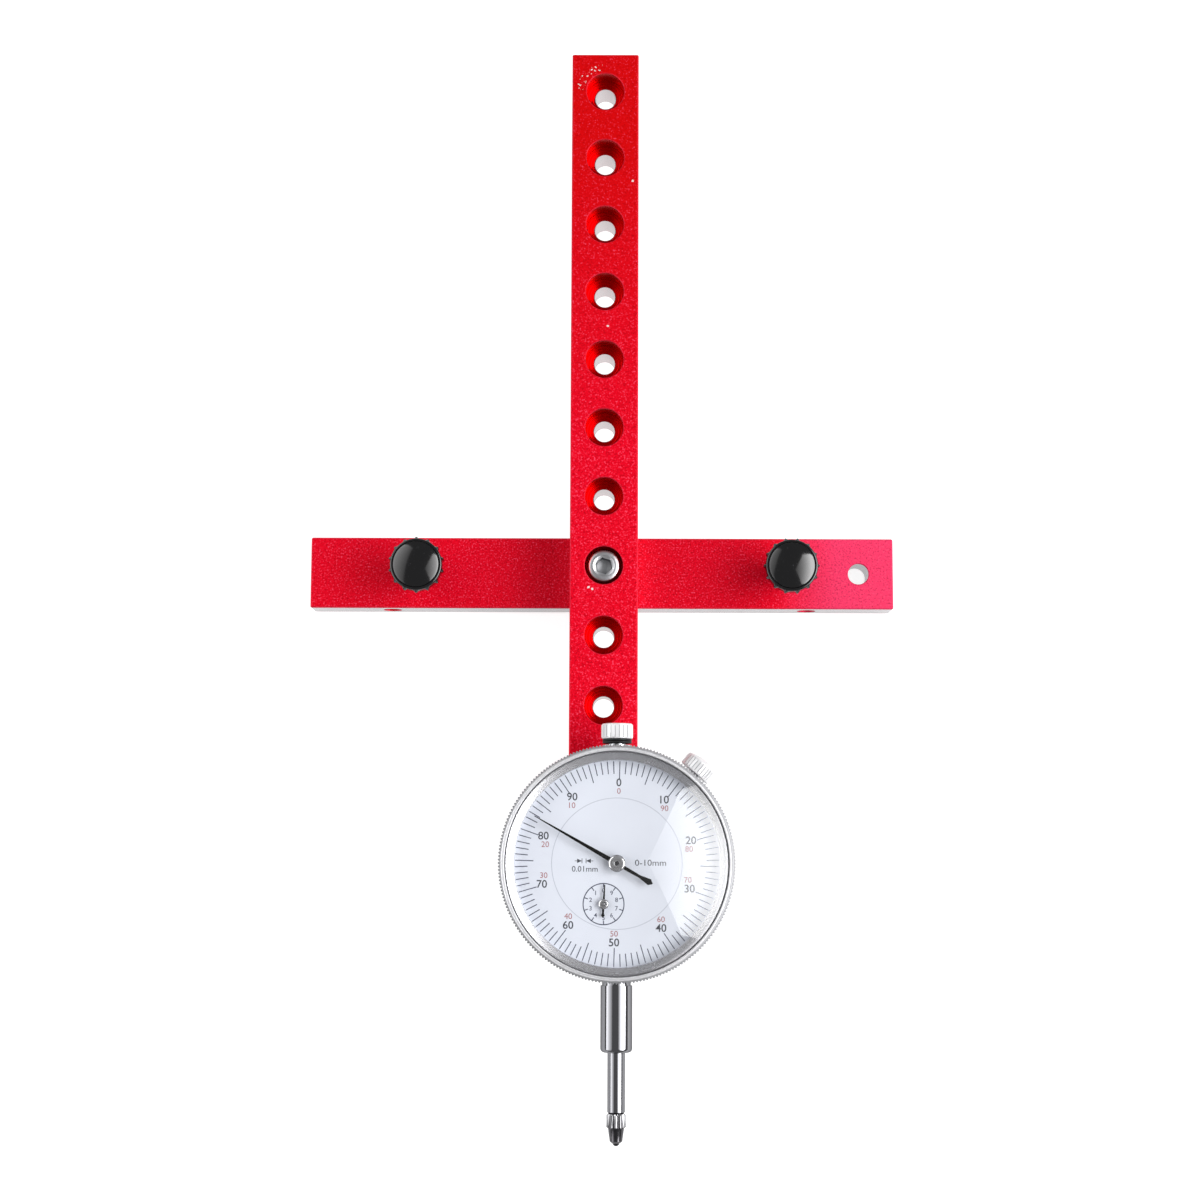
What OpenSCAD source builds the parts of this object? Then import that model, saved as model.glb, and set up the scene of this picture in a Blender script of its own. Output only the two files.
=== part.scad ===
// Mitre-slot alignment gauge: a cross of two drilled bars that carries a dial indicator.
// The origin lies on the mitre bar's underside, on the axis of the crossing screw.
// X runs along the mitre bar, Y along the long bar away from the dial, Z up.

/* [Mitre bar] */
// Width of the mitre bar, across the slot it slides in
mitre_w = 19; // [18:0.1:20]
// Thickness of the mitre bar
mitre_t = 9.5; // [9:0.1:10]
// Length of the mitre bar
mitre_l = 156; // [152:1:170]
// Offset of the bar's middle from the crossing screw
mitre_shift = -0.6; // [-2:0.1:2]
// Distance of the plain end hole from the crossing screw
end_hole_x = 68.1; // [62:0.1:72]
// Diameter of the plain end hole
end_hole_d = 5.5; // [4.5:0.1:6.5]
// Distance of the left tapped side hole from the crossing screw
side_hole_left = 56.9; // [55:0.1:66]
// Distance of the right tapped side hole from the crossing screw
side_hole_right = 54.5; // [54:0.1:66]
// Diameter of the tapped side holes
side_hole_d = 5; // [4:0.1:6]

/* [Long bar] */
// Width of the long bar
arm_w = 17.8; // [17:0.1:20]
// Thickness of the long bar
arm_t = 16; // [15:0.5:18]
// Reach of the long bar past the crossing screw
arm_reach = 138.4; // [137:0.1:150]
// Distance from hole to hole
hole_pitch = 18.3; // [18:0.1:18.6]
// Number of holes beyond the crossing screw
holes_beyond = 7; // [3:1:7]
// Number of holes between the crossing screw and the dial
holes_before = 2; // [1:1:2]
// Diameter of the through holes
bar_hole_d = 5.5; // [5.2:0.1:6]
// Diameter of the counterbores
counterbore_d = 10; // [9.4:0.1:11]
// Depth of the counterbores
counterbore_depth = 6; // [5.5:0.1:8]

/* [Thumb screws] */
// Distance of each thumb screw from the crossing screw
thumb_x = 49; // [44:0.5:52]
// Thread diameter of the thumb screws
thumb_d = 6; // [5:0.5:6]
// Diameter of the knob's rim under its ridges
knob_d = 13.6; // [12:0.1:15]
// Height of the knob's shoulder above the mitre bar
knob_height = 17.1; // [15:0.1:20]
// Number of grip ridges
knob_ridges = 14; // [8:1:20]

/* [Dial indicator] */
// Sideways place of the dial's centre
dial_x = 3.56; // [3.4:0.02:3.8]
// Distance of the dial's centre from the crossing screw
dial_back = 77.3; // [76:0.1:80]
// Diameter over the bezel's serration
bezel_d = 59; // [58.6:0.1:60]
// Number of serrations round the bezel
bezel_teeth = 216; // [120:8:240]
// Diameter of the case
case_d = 53; // [52.6:0.1:53.4]
// Diameter of the stem
stem_d = 8; // [7.5:0.1:8]
// Distance of the stem's end from the dial's centre
stem_reach = 46.7; // [44:0.1:50]
// Diameter of the spindle
spindle_d = 4.4; // [4.2:0.1:4.6]
// Distance of the contact tip from the dial's centre
tip_reach = 69.6; // [68:0.1:74]
// Diameter of the lifting cap
cap_d = 8.1; // [7:0.1:8.4]
// Direction of the bezel clamp, clockwise from the top of the dial
clamp_turn = 40.5; // [36:0.5:50]

/* [Movement] */
// Pitch of the rack's teeth
rack_pitch = 0.625; // [0.625:0.001:0.626]
// Teeth of the rack pinion
rack_pinion_teeth = 16; // [16:1:16]
// Teeth of the drive wheel and of the take-up wheel
wheel_teeth = 100; // [100:1:100]
// Teeth of the centre pinion
centre_teeth = 10; // [10:1:10]
// Module of the wheel train, finer than the rack's
train_module = 0.19; // [0.185:0.005:0.2]
// Sideways distance of the rack pinion from the spindle
pinion_side = 3.25; // [3.24:0.01:3.26]
// Main pointer's reading at rest, clockwise from the top of the dial
pointer_turn = 299.6; // [0:0.1:359.9]
// Counter pointer's direction at rest, clockwise from the top of the dial
counter_turn = 3.5; // [0:0.1:359.9]

/* [Hidden] */
$fn = 96;

// Clearances and small common sizes
slip = 0.05;
gap = 0.3;
over = 1;
edge = 0.35;
hole_edge = 0.25;

// Heights of the bars and of the dial indicator's floors
arm_z = mitre_t;
arm_top = mitre_t + arm_t;
lug_z = mitre_t + arm_t / 2;
cover_z = arm_top + 0.5;
cover_t = 2;
case_z = cover_z + cover_t;
case_h = 15.4;
spindle_z = case_z + 8;
plate_z = case_z + 10.6;
plate_t = 1;
plate_top = plate_z + plate_t;
wheel_z = plate_top + 0.6;
wheel_t = 0.8;
spring_z = wheel_z + wheel_t + 0.35;
spring_h = 0.5;
bridge_z = plate_top + 2.6;
bridge_t = 0.8;
bridge_top = bridge_z + bridge_t;
dial_z = bridge_top + 1;
dial_t = 0.4;
dial_top = dial_z + dial_t;
counter_z = dial_top + 0.6;
pointer_z = counter_z + 1;
bezel_z = 40.4;
bezel_top = 48.6;
crystal_z = 47.7;
crystal_t = 1.1;
crystal_ball_r = 75;
clamp_z = 37.2;

// Places along the long bar
dial_y = -dial_back;
lug_t = 6;
lug_r = 7;
lug_hole_r = 3.25;
tongue_x = dial_x - lug_t / 2 - 0.2;
shoulder_y = dial_y + lug_r + 0.6;

// Radii of the dial indicator
case_r = case_d / 2;
case_bore_r = case_r - 2.2;
bezel_r = bezel_d / 2;
bezel_bore_r = case_r + 0.08;
bezel_seat_r = 27.75;
stem_seat_r = 3.6;
bush_seat_r = 3.3;
bezel_neck_r = bezel_r - 0.55;
dial_seam_r = 16.1;
post_r = 2.4;
post_place_r = 22.5;
post_angles = [30, 150, 210, 330];

// Gear train: module, tooth sizes and the places of the arbors
gear_module = rack_pitch / PI;
addendum = 0.8 * gear_module;
dedendum = 1.15 * gear_module;
tooth_half = 0.19 * rack_pitch;
flank = 0.3;
tooth_tip = tooth_half - addendum * flank;
tooth_root = tooth_half + dedendum * flank;
pinion_r = rack_pinion_teeth * gear_module / 2;
train_distance = (wheel_teeth + centre_teeth) * train_module / 2;
pinion_drop = sqrt(train_distance * train_distance - pinion_side * pinion_side);
train_angle = atan2(pinion_drop, pinion_side);
pinion_at = [dial_x - pinion_side, dial_y - pinion_drop];
takeup_at = [dial_x + pinion_side, dial_y + pinion_drop];
pivot_r = 0.5;
arbor_r = 0.8;

// Spindle, spring and guide
spindle_r = spindle_d / 2;
travel = 10;
rack_line = pinion_side - pinion_r;
guide_y = 7.3;
guide_pin_r = 0.8;
spring_x = 8.4;
spring_post_y = -17.9;
cap_bottom = 31.35;
cap_len = 3.85;
cushion_len = 1.2;
bush_top = 29.8;

// Flat outlines

// Rectangle w by h, centred, with its corners cut by c
module cut_rect(w, h, c) {
    polygon([[-w / 2 + c, -h / 2], [w / 2 - c, -h / 2], [w / 2, -h / 2 + c], [w / 2, h / 2 - c],
             [w / 2 - c, h / 2], [-w / 2 + c, h / 2], [-w / 2, h / 2 - c], [-w / 2, -h / 2 + c]]);
}

// Gear outline with straight flanks and room for backlash, with a tooth on the X axis
function gear_outline(teeth, size = gear_module) =
    let (r = teeth * size / 2, share = size / gear_module, low = r - share * dedendum, high = r + share * addendum)
    [for (i = [0:teeth - 1])
        for (corner = [[low, -share * tooth_root], [high, -share * tooth_tip],
                       [high, share * tooth_tip], [low, share * tooth_root]])
            let (a = 360 * i / teeth + corner[1] / corner[0] * 180 / PI)
            corner[0] * [cos(a), sin(a)]];

// Outline with teeth of triangular section, for serrations and straight knurls
function knurl_outline(teeth, r_tip, depth) =
    [for (i = [0:2 * teeth - 1]) (r_tip - (i % 2) * depth) * [cos(180 * i / teeth), sin(180 * i / teeth)]];

// Flat spiral strip that grows from r0 to r1
function spiral_edge(r0, r1, turns, side) =
    [for (i = [0:turns * 24])
        let (f = i / (turns * 24))
        (r0 + (r1 - r0) * f + side) * [cos(15 * i), sin(15 * i)]];
function reversed(points) = [for (i = [len(points) - 1:-1:0]) points[i]];

// Shared solids

// Block between two corners with every edge cut by c
module cut_block(low, high, c) {
    size = high - low;
    translate((low + high) / 2)
        intersection() {
            translate([0, 0, -size[2] / 2]) linear_extrude(size[2]) cut_rect(size[0], size[1], c);
            translate([0, size[1] / 2, 0]) rotate([90, 0, 0]) linear_extrude(size[1])
                cut_rect(size[0], size[2], c);
            translate([-size[0] / 2, 0, 0]) rotate([90, 0, 90]) linear_extrude(size[0])
                cut_rect(size[1], size[2], c);
        }
}

// Cylinder up the Z axis between two heights
module post(r, z0, z1) {
    translate([0, 0, z0]) cylinder(h = z1 - z0, r = r);
}

// Hole up the Z axis with both mouths broken by a small chamfer
module edged_hole(r, z0, z1) {
    post(r, z0 - over, z1 + over);
    translate([0, 0, z1 - hole_edge]) cylinder(h = hole_edge + slip, r1 = r, r2 = r + hole_edge + slip);
    translate([0, 0, z0 - slip]) cylinder(h = hole_edge + slip, r1 = r + hole_edge + slip, r2 = r);
}

// Solid of revolution about the Z axis, from points of radius and height
module turned(points) {
    rotate_extrude() polygon(points);
}

// Moves children to the dial's centre
module at_dial() {
    translate([dial_x, dial_y, 0]) children();
}

// Moves children to the spindle's axis, with their Z along the spindle towards the lifting cap
module on_spindle() {
    translate([dial_x, dial_y, spindle_z]) rotate([-90, 0, 0]) children();
}

// Moves children to the clamp's axis, with their Z pointing outwards from the dial
module on_clamp() {
    translate([dial_x, dial_y, clamp_z]) rotate([0, 0, -clamp_turn]) rotate([-90, 0, 0]) children();
}

// Moves children to each of the four posts of the case
module at_posts() {
    at_dial() for (a = post_angles) rotate([0, 0, a])
        translate([post_place_r, 0, 0]) rotate([0, 0, 180]) children();
}

// Moves children to the four pillars between the plates, clear of both wheels
module at_pillars() {
    at_dial() for (p = [[13.5, -2], [12, -12], [-13.5, 2], [-12, 12]]) translate(p) children();
}

// Slotted cheese-head screw, head upwards on height z, with its shank below
module slotted_screw(head_r, head_h, shank_r, shank_h, z) {
    difference() {
        union() {
            post(head_r, z, z + head_h);
            post(shank_r, z - shank_h, z + slip);
        }
        translate([0, 0, z + head_h]) cube([2 * head_r + over, 0.35, 0.7 * head_h], center = true);
    }
}

// Base

module mitre_bar() {
    tap_depth = 7.5;
    side_depth = 8;
    left_end = mitre_shift - mitre_l / 2;
    color("crimson") difference() {
        cut_block([left_end, -mitre_w / 2, 0], [left_end + mitre_l, mitre_w / 2, mitre_t], edge);
        post(2.52, mitre_t - tap_depth, mitre_t + over);
        translate([end_hole_x, 0, 0]) edged_hole(end_hole_d / 2, 0, mitre_t);
        for (side = [-1, 1]) translate([side * thumb_x, 0, 0]) edged_hole(thumb_d / 2, 0, mitre_t);
        for (x = [-side_hole_left, side_hole_right])
            translate([x, side_depth - mitre_w / 2, mitre_t / 2]) rotate([90, 0, 0])
                cylinder(h = side_depth + over, r = side_hole_d / 2);
    }
}

module arm_screw() {
    head_r = 4.25;
    head_h = 5;
    socket_af = 4;
    socket_depth = 2.6;
    floor_z = arm_top - counterbore_depth + slip;
    color("silver") difference() {
        union() {
            turned([[0, floor_z], [head_r, floor_z], [head_r, floor_z + head_h - edge],
                    [head_r - edge, floor_z + head_h], [0, floor_z + head_h]]);
            post(2.48, mitre_t - 6.8, floor_z + slip);
        }
        post(socket_af / sqrt(3) * 0.999, floor_z + head_h - socket_depth, floor_z + head_h + over, $fn = 6);
    }
}

// Long bar

module long_bar() {
    tongue_end_r = arm_t / 2;
    bore_r = counterbore_d / 2;
    color("crimson") difference() {
        union() {
            cut_block([-arm_w / 2, dial_y, arm_z], [arm_w / 2, arm_reach, arm_top], edge);
            translate([-arm_w / 2, dial_y, lug_z]) rotate([0, 90, 0])
                cylinder(h = arm_w / 2 + tongue_x, r = tongue_end_r);
        }
        translate([tongue_x, shoulder_y - 3 * lug_r, arm_z - over])
            cube([arm_w, 3 * lug_r, arm_t + 2 * over]);
        for (k = [-holes_before:holes_beyond]) translate([0, k * hole_pitch, 0]) {
            edged_hole(bar_hole_d / 2, arm_z, arm_top - counterbore_depth);
            post(counterbore_d / 2, arm_top - counterbore_depth, arm_top + over);
            translate([0, 0, arm_top - hole_edge])
                cylinder(h = hole_edge + slip, r1 = bore_r, r2 = bore_r + hole_edge + slip);
        }
        translate([-arm_w, dial_y, lug_z]) rotate([0, 90, 0]) cylinder(h = 2 * arm_w, r = 3);
    }
}

module lug_screw() {
    head_r = 5;
    head_h = 4;
    head_x = dial_x + lug_t / 2 + gap;
    color("silver") translate([0, dial_y, lug_z]) rotate([0, 90, 0]) difference() {
        union() {
            turned([[0, head_x], [head_r, head_x], [head_r, head_x + head_h - edge],
                    [head_r - edge, head_x + head_h], [0, head_x + head_h]]);
            post(lug_hole_r - slip, tongue_x, head_x + slip);
            post(2.98, -arm_w / 2 + 0.5, tongue_x + slip);
        }
        post(4 / sqrt(3), head_x + head_h - 2.2, head_x + head_h + over, $fn = 6);
    }
}

// Thumb screws

module thumb_stud(x) {
    stud_r = thumb_d / 2 - slip;
    stud_z = 0.6;
    tip_cut = 0.6;
    stud_top = mitre_t + knob_height - 5;
    color("silver") translate([x, 0, 0])
        turned([[0, stud_z], [stud_r - tip_cut, stud_z], [stud_r, stud_z + tip_cut],
                [stud_r, stud_top], [0, stud_top]]);
}

module thumb_knob(x, turn) {
    shoulder = mitre_t + knob_height;
    rim_r = knob_d / 2;
    rim_h = 4;
    collar_r = 4.4;
    collar_z = shoulder - 11;
    ridge_h = 0.55;
    ridge_w = 1.1;
    dome_r = 5.97;
    dome_edge = 0.1;
    dome_rise = 1.2;
    bore_depth = 6.3;
    dome_ball_r = (dome_r * dome_r + dome_rise * dome_rise) / (2 * dome_rise);
    color("black") translate([x, 0, 0]) rotate([0, 0, turn]) difference() {
        union() {
            turned([[0, collar_z], [collar_r, collar_z], [collar_r, collar_z + 3],
                    [rim_r - 0.2, shoulder - rim_h], [rim_r, shoulder - rim_h + 0.3],
                    [rim_r, shoulder - 0.4], [rim_r - 0.4, shoulder], [dome_r, shoulder],
                    [dome_r, shoulder + dome_edge], [0, shoulder + dome_edge]]);
            translate([0, 0, shoulder + dome_edge - slip]) intersection() {
                post(dome_r, 0, dome_rise + slip);
                translate([0, 0, dome_rise + slip - dome_ball_r]) sphere(r = dome_ball_r);
            }
            for (i = [0:knob_ridges - 1])
                rotate([0, 0, 360 * i / knob_ridges]) translate([rim_r - 0.1, 0, shoulder - rim_h + 0.4])
                    linear_extrude(rim_h - 0.9)
                        polygon([[0, -ridge_w / 2], [0.1 + ridge_h, -0.15],
                                 [0.1 + ridge_h, 0.15], [0, ridge_w / 2]]);
        }
        post(thumb_d / 2, collar_z - over, collar_z + bore_depth);
    }
}

module left_stud() { thumb_stud(-thumb_x); }
module left_knob() { thumb_knob(-thumb_x, 90); }
module right_stud() { thumb_stud(thumb_x); }
module right_knob() { thumb_knob(thumb_x, 90 + 180 / knob_ridges); }

// Case of the dial indicator

module case_body() {
    groove_z = 41.6;
    groove_h = 1;
    groove_depth = 0.8;
    boss_r = 2.8;
    boss_end = 28.6;
    color("silver") difference() {
        union() {
            at_dial() difference() {
                post(case_r, case_z, case_z + case_h);
                post(case_bore_r, case_z - over, case_z + case_h + over);
            }
            at_posts() post(post_r, case_z, plate_z);
            on_clamp() post(boss_r, case_r - 1.5, boss_end);
        }
        at_dial() difference() {
            post(case_r + over, groove_z, groove_z + groove_h);
            post(case_r - groove_depth, groove_z - over, groove_z + groove_h + over);
        }
        on_spindle() post(stem_seat_r + 0.02, -case_r - over, -case_bore_r + 2 * over);
        on_spindle() post(bush_seat_r + 0.02, case_bore_r - 2 * over, case_r + over);
        on_clamp() post(1.5 + slip, case_bore_r - over, boss_end + over);
        at_posts() post(0.9, case_z - over, case_z + 5);
        at_posts() post(0.7, plate_z - 3.5, plate_z + over);
    }
}

module stem() {
    inner_end = -case_bore_r;
    step = -30.2;
    round_r = 1;
    bush_r = 3;
    lip = 0.8;
    color("silver") on_spindle() rotate([0, 0, 180]) difference() {
        union() {
            post(stem_seat_r, step, inner_end);
            post(stem_d / 2, -stem_reach + round_r, step);
            rotate_extrude() intersection() {
                translate([0, -stem_reach]) square([stem_d / 2, round_r]);
                union() {
                    translate([stem_d / 2 - round_r, round_r - stem_reach]) circle(r = round_r);
                    translate([0, -stem_reach]) square([stem_d / 2 - round_r, round_r]);
                }
            }
        }
        post(bush_r, -stem_reach + lip, inner_end + over);
        post(spindle_r + gap, -stem_reach - over, inner_end + over);
    }
}

module lower_bush() {
    start = -stem_reach + 0.8;
    color("peru") on_spindle() difference() {
        post(3, start, start + 8);
        post(spindle_r + slip, start - over, start + 8 + over);
    }
}

module upper_bush() {
    color("silver") on_spindle() difference() {
        post(bush_seat_r, case_bore_r, bush_top);
        post(spindle_r + slip, case_bore_r - 3, bush_top + over);
    }
}

module back_cover() {
    cover_r = case_r - 0.2;
    color("silver") difference() {
        union() {
            at_dial() turned([[0, cover_z], [cover_r - edge, cover_z], [cover_r, cover_z + edge],
                              [cover_r, case_z], [0, case_z]]);
            translate([dial_x - lug_t / 2, dial_y, lug_z]) {
                rotate([0, 90, 0]) cylinder(h = lug_t, r = lug_r);
                translate([0, -lug_r, 0]) cube([lug_t, 2 * lug_r, cover_z - lug_z + slip]);
            }
        }
        translate([dial_x - lug_t, dial_y, lug_z]) rotate([0, 90, 0]) cylinder(h = 2 * lug_t, r = lug_hole_r);
        at_posts() {
            post(1.1, cover_z - over, case_z + over);
            translate([0, 0, cover_z - slip]) cylinder(h = 1 + slip, r1 = 2 + slip, r2 = 1);
        }
    }
}

module back_screws() {
    color("gray") at_posts() difference() {
        union() {
            translate([0, 0, cover_z]) cylinder(h = 0.95, r1 = 1.95, r2 = 1);
            post(0.88, cover_z + 0.9, case_z + 4.5);
        }
        translate([0, 0, cover_z]) cube([5, 0.45, 0.9], center = true);
    }
}

// Plates of the movement

module lower_plate() {
    color("goldenrod") difference() {
        at_dial() post(case_bore_r - 0.1, plate_z, plate_top);
        at_posts() post(0.85, plate_z - over, plate_top + over);
        at_dial() post(pivot_r + slip, plate_z - over, plate_top + over);
        translate(pinion_at) post(arbor_r + slip, plate_z - over, plate_top + over);
        translate(takeup_at) post(pivot_r + slip, plate_z - over, plate_top + over);
    }
}

module plate_screws() {
    color("gray") at_posts() slotted_screw(1.4, 0.8, 0.68, 4, plate_top);
}

module plate_pillars() {
    color("goldenrod") at_pillars() difference() {
        post(1.5, plate_top, bridge_z);
        post(0.6, plate_top + 0.5, bridge_z + over);
    }
}

module upper_plate() {
    color("goldenrod") difference() {
        at_dial() post(19, bridge_z, bridge_top);
        at_pillars() post(0.75, bridge_z - over, bridge_top + over);
        at_dial() post(pivot_r + slip, bridge_z - over, bridge_top + over);
        translate(pinion_at) post(pivot_r + slip, bridge_z - over, bridge_top + over);
        translate(takeup_at) post(pivot_r + slip, bridge_z - over, bridge_top + over);
    }
}

module bridge_screws() {
    color("gray") at_pillars() slotted_screw(1.3, 0.6, 0.58, 2.4, bridge_top);
}

module pinion_bridge() {
    reach = 6.5;
    bar_half = 1.5;
    bar_z = spindle_z - 3;
    color("goldenrod") translate(pinion_at) difference() {
        union() {
            post(bar_half, bar_z, bar_z + 1);
            translate([-reach, -bar_half, bar_z]) cube([reach, 2 * bar_half, 1]);
            translate([-reach, 0, 0]) post(bar_half, bar_z, plate_z);
        }
        post(pivot_r + slip, bar_z - over, bar_z + 1 + over);
    }
}

module guide_plate() {
    plate_x = 4.5;
    thick = 1.5;
    color("goldenrod") translate([dial_x + plate_x, dial_y, 0]) difference() {
        translate([0, guide_y - 3, spindle_z - 2.6]) cube([thick, travel + 6, plate_z - spindle_z + 2.6]);
        translate([-over, guide_y, spindle_z]) rotate([0, 90, 0]) {
            cylinder(h = thick + 2 * over, r = guide_pin_r + slip);
            translate([0, travel, 0]) cylinder(h = thick + 2 * over, r = guide_pin_r + slip);
            translate([-guide_pin_r - slip, 0, 0])
                cube([2 * (guide_pin_r + slip), travel, thick + 2 * over]);
        }
    }
}

module spring_post() {
    color("silver") translate([dial_x + spring_x, dial_y + spring_post_y, 0]) post(0.8, spindle_z - 2, plate_z);
}

// Close-wound tension spring drawn as its sleeve of turns, with a flat eye at each end
module return_spring() {
    eye_r = 1.4;
    coil_r = 1.4;
    coil_bore = 0.9;
    wire = 0.5;
    low = spring_post_y + 2.2;
    high = guide_y - 2.2;
    color("gray") translate([dial_x + spring_x, dial_y, spindle_z]) difference() {
        union() {
            translate([0, low, 0]) rotate([-90, 0, 0]) cylinder(h = high - low, r = coil_r);
            translate([0, spring_post_y, -wire / 2]) cylinder(h = wire, r = eye_r);
            translate([-wire / 2, spring_post_y + eye_r - 0.3, -wire / 2]) cube([wire, 1.4, wire]);
            translate([-wire / 2, guide_y, 0]) rotate([0, 90, 0]) cylinder(h = wire, r = eye_r);
            translate([-wire / 2, high - 0.3, -wire / 2]) cube([wire, 1.4, wire]);
        }
        translate([0, low + wire, 0]) rotate([-90, 0, 0]) cylinder(h = high - low - 2 * wire, r = coil_bore);
        translate([0, spring_post_y, -over]) cylinder(h = 2 * over, r = guide_pin_r + slip);
        translate([-over, guide_y, 0]) rotate([0, 90, 0]) cylinder(h = 2 * over, r = guide_pin_r + slip);
    }
}

// Hairspring

hairspring_in = 1.35;
hairspring_out = 5.6;
hairspring_turns = 6;
hairspring_half = 0.06;

module hairspring() {
    outer_edge = spiral_edge(hairspring_in, hairspring_out, hairspring_turns, hairspring_half);
    inner_edge = spiral_edge(hairspring_in, hairspring_out, hairspring_turns, -hairspring_half);
    color("steelblue") translate([takeup_at[0], takeup_at[1], spring_z]) linear_extrude(spring_h)
        polygon(concat(outer_edge, reversed(inner_edge)));
}

module hairspring_stud() {
    stud_r = 0.5;
    color("goldenrod") translate(takeup_at)
        translate([hairspring_out + hairspring_half + stud_r, 0, 0]) post(stud_r, spring_z, bridge_z);
}

module hairspring_collet() {
    color("goldenrod") translate(takeup_at) difference() {
        post(1.2, spring_z - 0.1, spring_z + spring_h);
        post(arbor_r, spring_z - over, spring_z + spring_h + over);
    }
}

// Dial and bezel

module dial_centre() {
    color("white") difference() {
        at_dial() post(dial_seam_r - 0.06, dial_z, dial_top);
        at_dial() post(1, dial_z - over, dial_top + over);
        translate(pinion_at) post(0.9, dial_z - over, dial_top + over);
    }
}

module dial_feet() {
    color("goldenrod") at_dial() for (a = [30, 210, 270]) rotate([0, 0, a]) translate([14.3, 0, 0])
        post(0.9, bridge_top, dial_z);
}

module bezel_spring() {
    color("gray") at_dial() difference() {
        post(26.9, 41.75, 42.45);
        post(25.8, 41.5, 43);
        rotate([0, 0, 200]) translate([20, 0, 40]) cube([10, 6, 5]);
    }
}

module bezel_ring() {
    band_z = bezel_z + 0.2;
    band_top = bezel_z + 6.2;
    tooth_depth = 0.35;
    groove_r = 27;
    color("lightgray") at_dial() difference() {
        union() {
            turned([[0, bezel_z], [bezel_neck_r - edge, bezel_z], [bezel_neck_r, bezel_z + edge],
                    [bezel_neck_r, bezel_top - edge], [bezel_neck_r - edge, bezel_top], [0, bezel_top]]);
            translate([0, 0, band_z]) linear_extrude(band_top - band_z)
                polygon(knurl_outline(bezel_teeth, bezel_r, tooth_depth));
        }
        post(bezel_bore_r, bezel_z - over, dial_z + over);
        post(bezel_seat_r, dial_z, bezel_top + over);
        post(groove_r, 41.6, 42.6);
    }
}

module dial_ring() {
    color("white") at_dial() difference() {
        post(bezel_seat_r - 0.3, dial_z, dial_top);
        post(dial_seam_r + 0.06, dial_z - over, dial_top + over);
    }
}

module liner_ring() {
    seat_r = bezel_seat_r - 0.02;
    inner_r = 25.35;
    lip_z = dial_top + 2.4;
    color("darkgray") at_dial() turned([[inner_r, dial_top], [seat_r, dial_top], [seat_r, crystal_z - slip],
                                        [27.2, crystal_z - slip], [inner_r + 0.15, lip_z + 0.15],
                                        [inner_r, lip_z]]);
}

// Domed lens with a flat rim that sits on the liner ring
module crystal() {
    crystal_r = bezel_seat_r - 0.4;
    rim_r = crystal_r - 1.1;
    centre_z = crystal_z + crystal_t - sqrt(crystal_ball_r * crystal_ball_r - crystal_r * crystal_r);
    color("lightblue", 0.3) at_dial() rotate_extrude() {
        translate([rim_r, crystal_z]) square([crystal_r - rim_r, crystal_t]);
        intersection() {
            translate([0, crystal_z]) square([crystal_r, crystal_ball_r]);
            translate([0, centre_z]) difference() {
                circle(r = crystal_ball_r);
                circle(r = crystal_ball_r - crystal_t);
            }
        }
    }
}

module crystal_gasket() {
    color("black") at_dial() difference() {
        post(bezel_seat_r - 0.01, crystal_z, crystal_z + crystal_t - 0.15);
        post(bezel_seat_r - 0.38, crystal_z - over, bezel_top + over);
    }
}

// Spindle

// Outline of what is cut away beside the rack's teeth
function rack_outline(first, last) =
    concat([for (i = [first:last])
               for (corner = [[rack_line - dedendum, -tooth_root], [rack_line + addendum, -tooth_tip],
                              [rack_line + addendum, tooth_tip], [rack_line - dedendum, tooth_root]])
                   [-corner[0], (i + 0.5) * rack_pitch + corner[1]]],
           [[-rack_line + dedendum, (last + 1) * rack_pitch], [-2 * spindle_d, (last + 1) * rack_pitch],
            [-2 * spindle_d, first * rack_pitch], [-rack_line + dedendum, first * rack_pitch]]);

module spindle_rod() {
    seat = -tip_reach + 8;
    stub_r = 1.6;
    color("silver") difference() {
        on_spindle() {
            turned([[0, seat], [spindle_r - edge, seat], [spindle_r, seat + edge], [spindle_r, cap_bottom],
                    [stub_r, cap_bottom], [stub_r, cap_bottom + 2.2], [0, cap_bottom + 2.2]]);
        }
        translate([dial_x, dial_y - pinion_drop, spindle_z - spindle_d]) linear_extrude(2 * spindle_d)
            polygon(rack_outline(-18, 2));
        on_spindle() post(1.25, seat - over, seat + 5);
        translate([dial_x, dial_y + guide_y, spindle_z]) rotate([0, 90, 0])
            cylinder(h = spindle_d, r = guide_pin_r);
    }
}

module contact_point() {
    tip_r = 0.9;
    collar_r = 2.5;
    collar_end = -tip_reach + 4.5;
    seat = -tip_reach + 8;
    cone_end = -tip_reach + 0.85;
    color("gray") on_spindle() union() {
        difference() {
            turned([[0, seat], [collar_r - 0.25, seat], [collar_r, seat - 0.3], [collar_r, seat - 1.7],
                    [2.15, collar_end], [0, collar_end]]);
            for (i = [0:11]) rotate([0, 0, 30 * i]) translate([collar_r + 0.25, 0, collar_end - over])
                cylinder(h = 6, r = 0.5);
        }
        turned([[0, collar_end + slip], [2.15, collar_end + slip], [2.15, collar_end], [1.72, cone_end + 0.35],
                [1.4, cone_end], [0, cone_end]]);
        translate([0, 0, -tip_reach + tip_r]) sphere(r = tip_r);
        post(1.22, seat - slip, seat + 4.5);
    }
}

module lifting_cap() {
    cap_r = cap_d / 2;
    top = cap_bottom + cap_len;
    color("silver") on_spindle() difference() {
        intersection() {
            translate([0, 0, cap_bottom]) linear_extrude(cap_len) polygon(knurl_outline(22, cap_r, 0.16));
            turned([[0, cap_bottom], [cap_r - 0.25, cap_bottom], [cap_r + slip, cap_bottom + 0.3],
                    [cap_r + slip, top - 0.35], [cap_r - 0.4, top], [0, top]]);
        }
        post(1.6, cap_bottom - over, cap_bottom + 2.3);
    }
}

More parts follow.
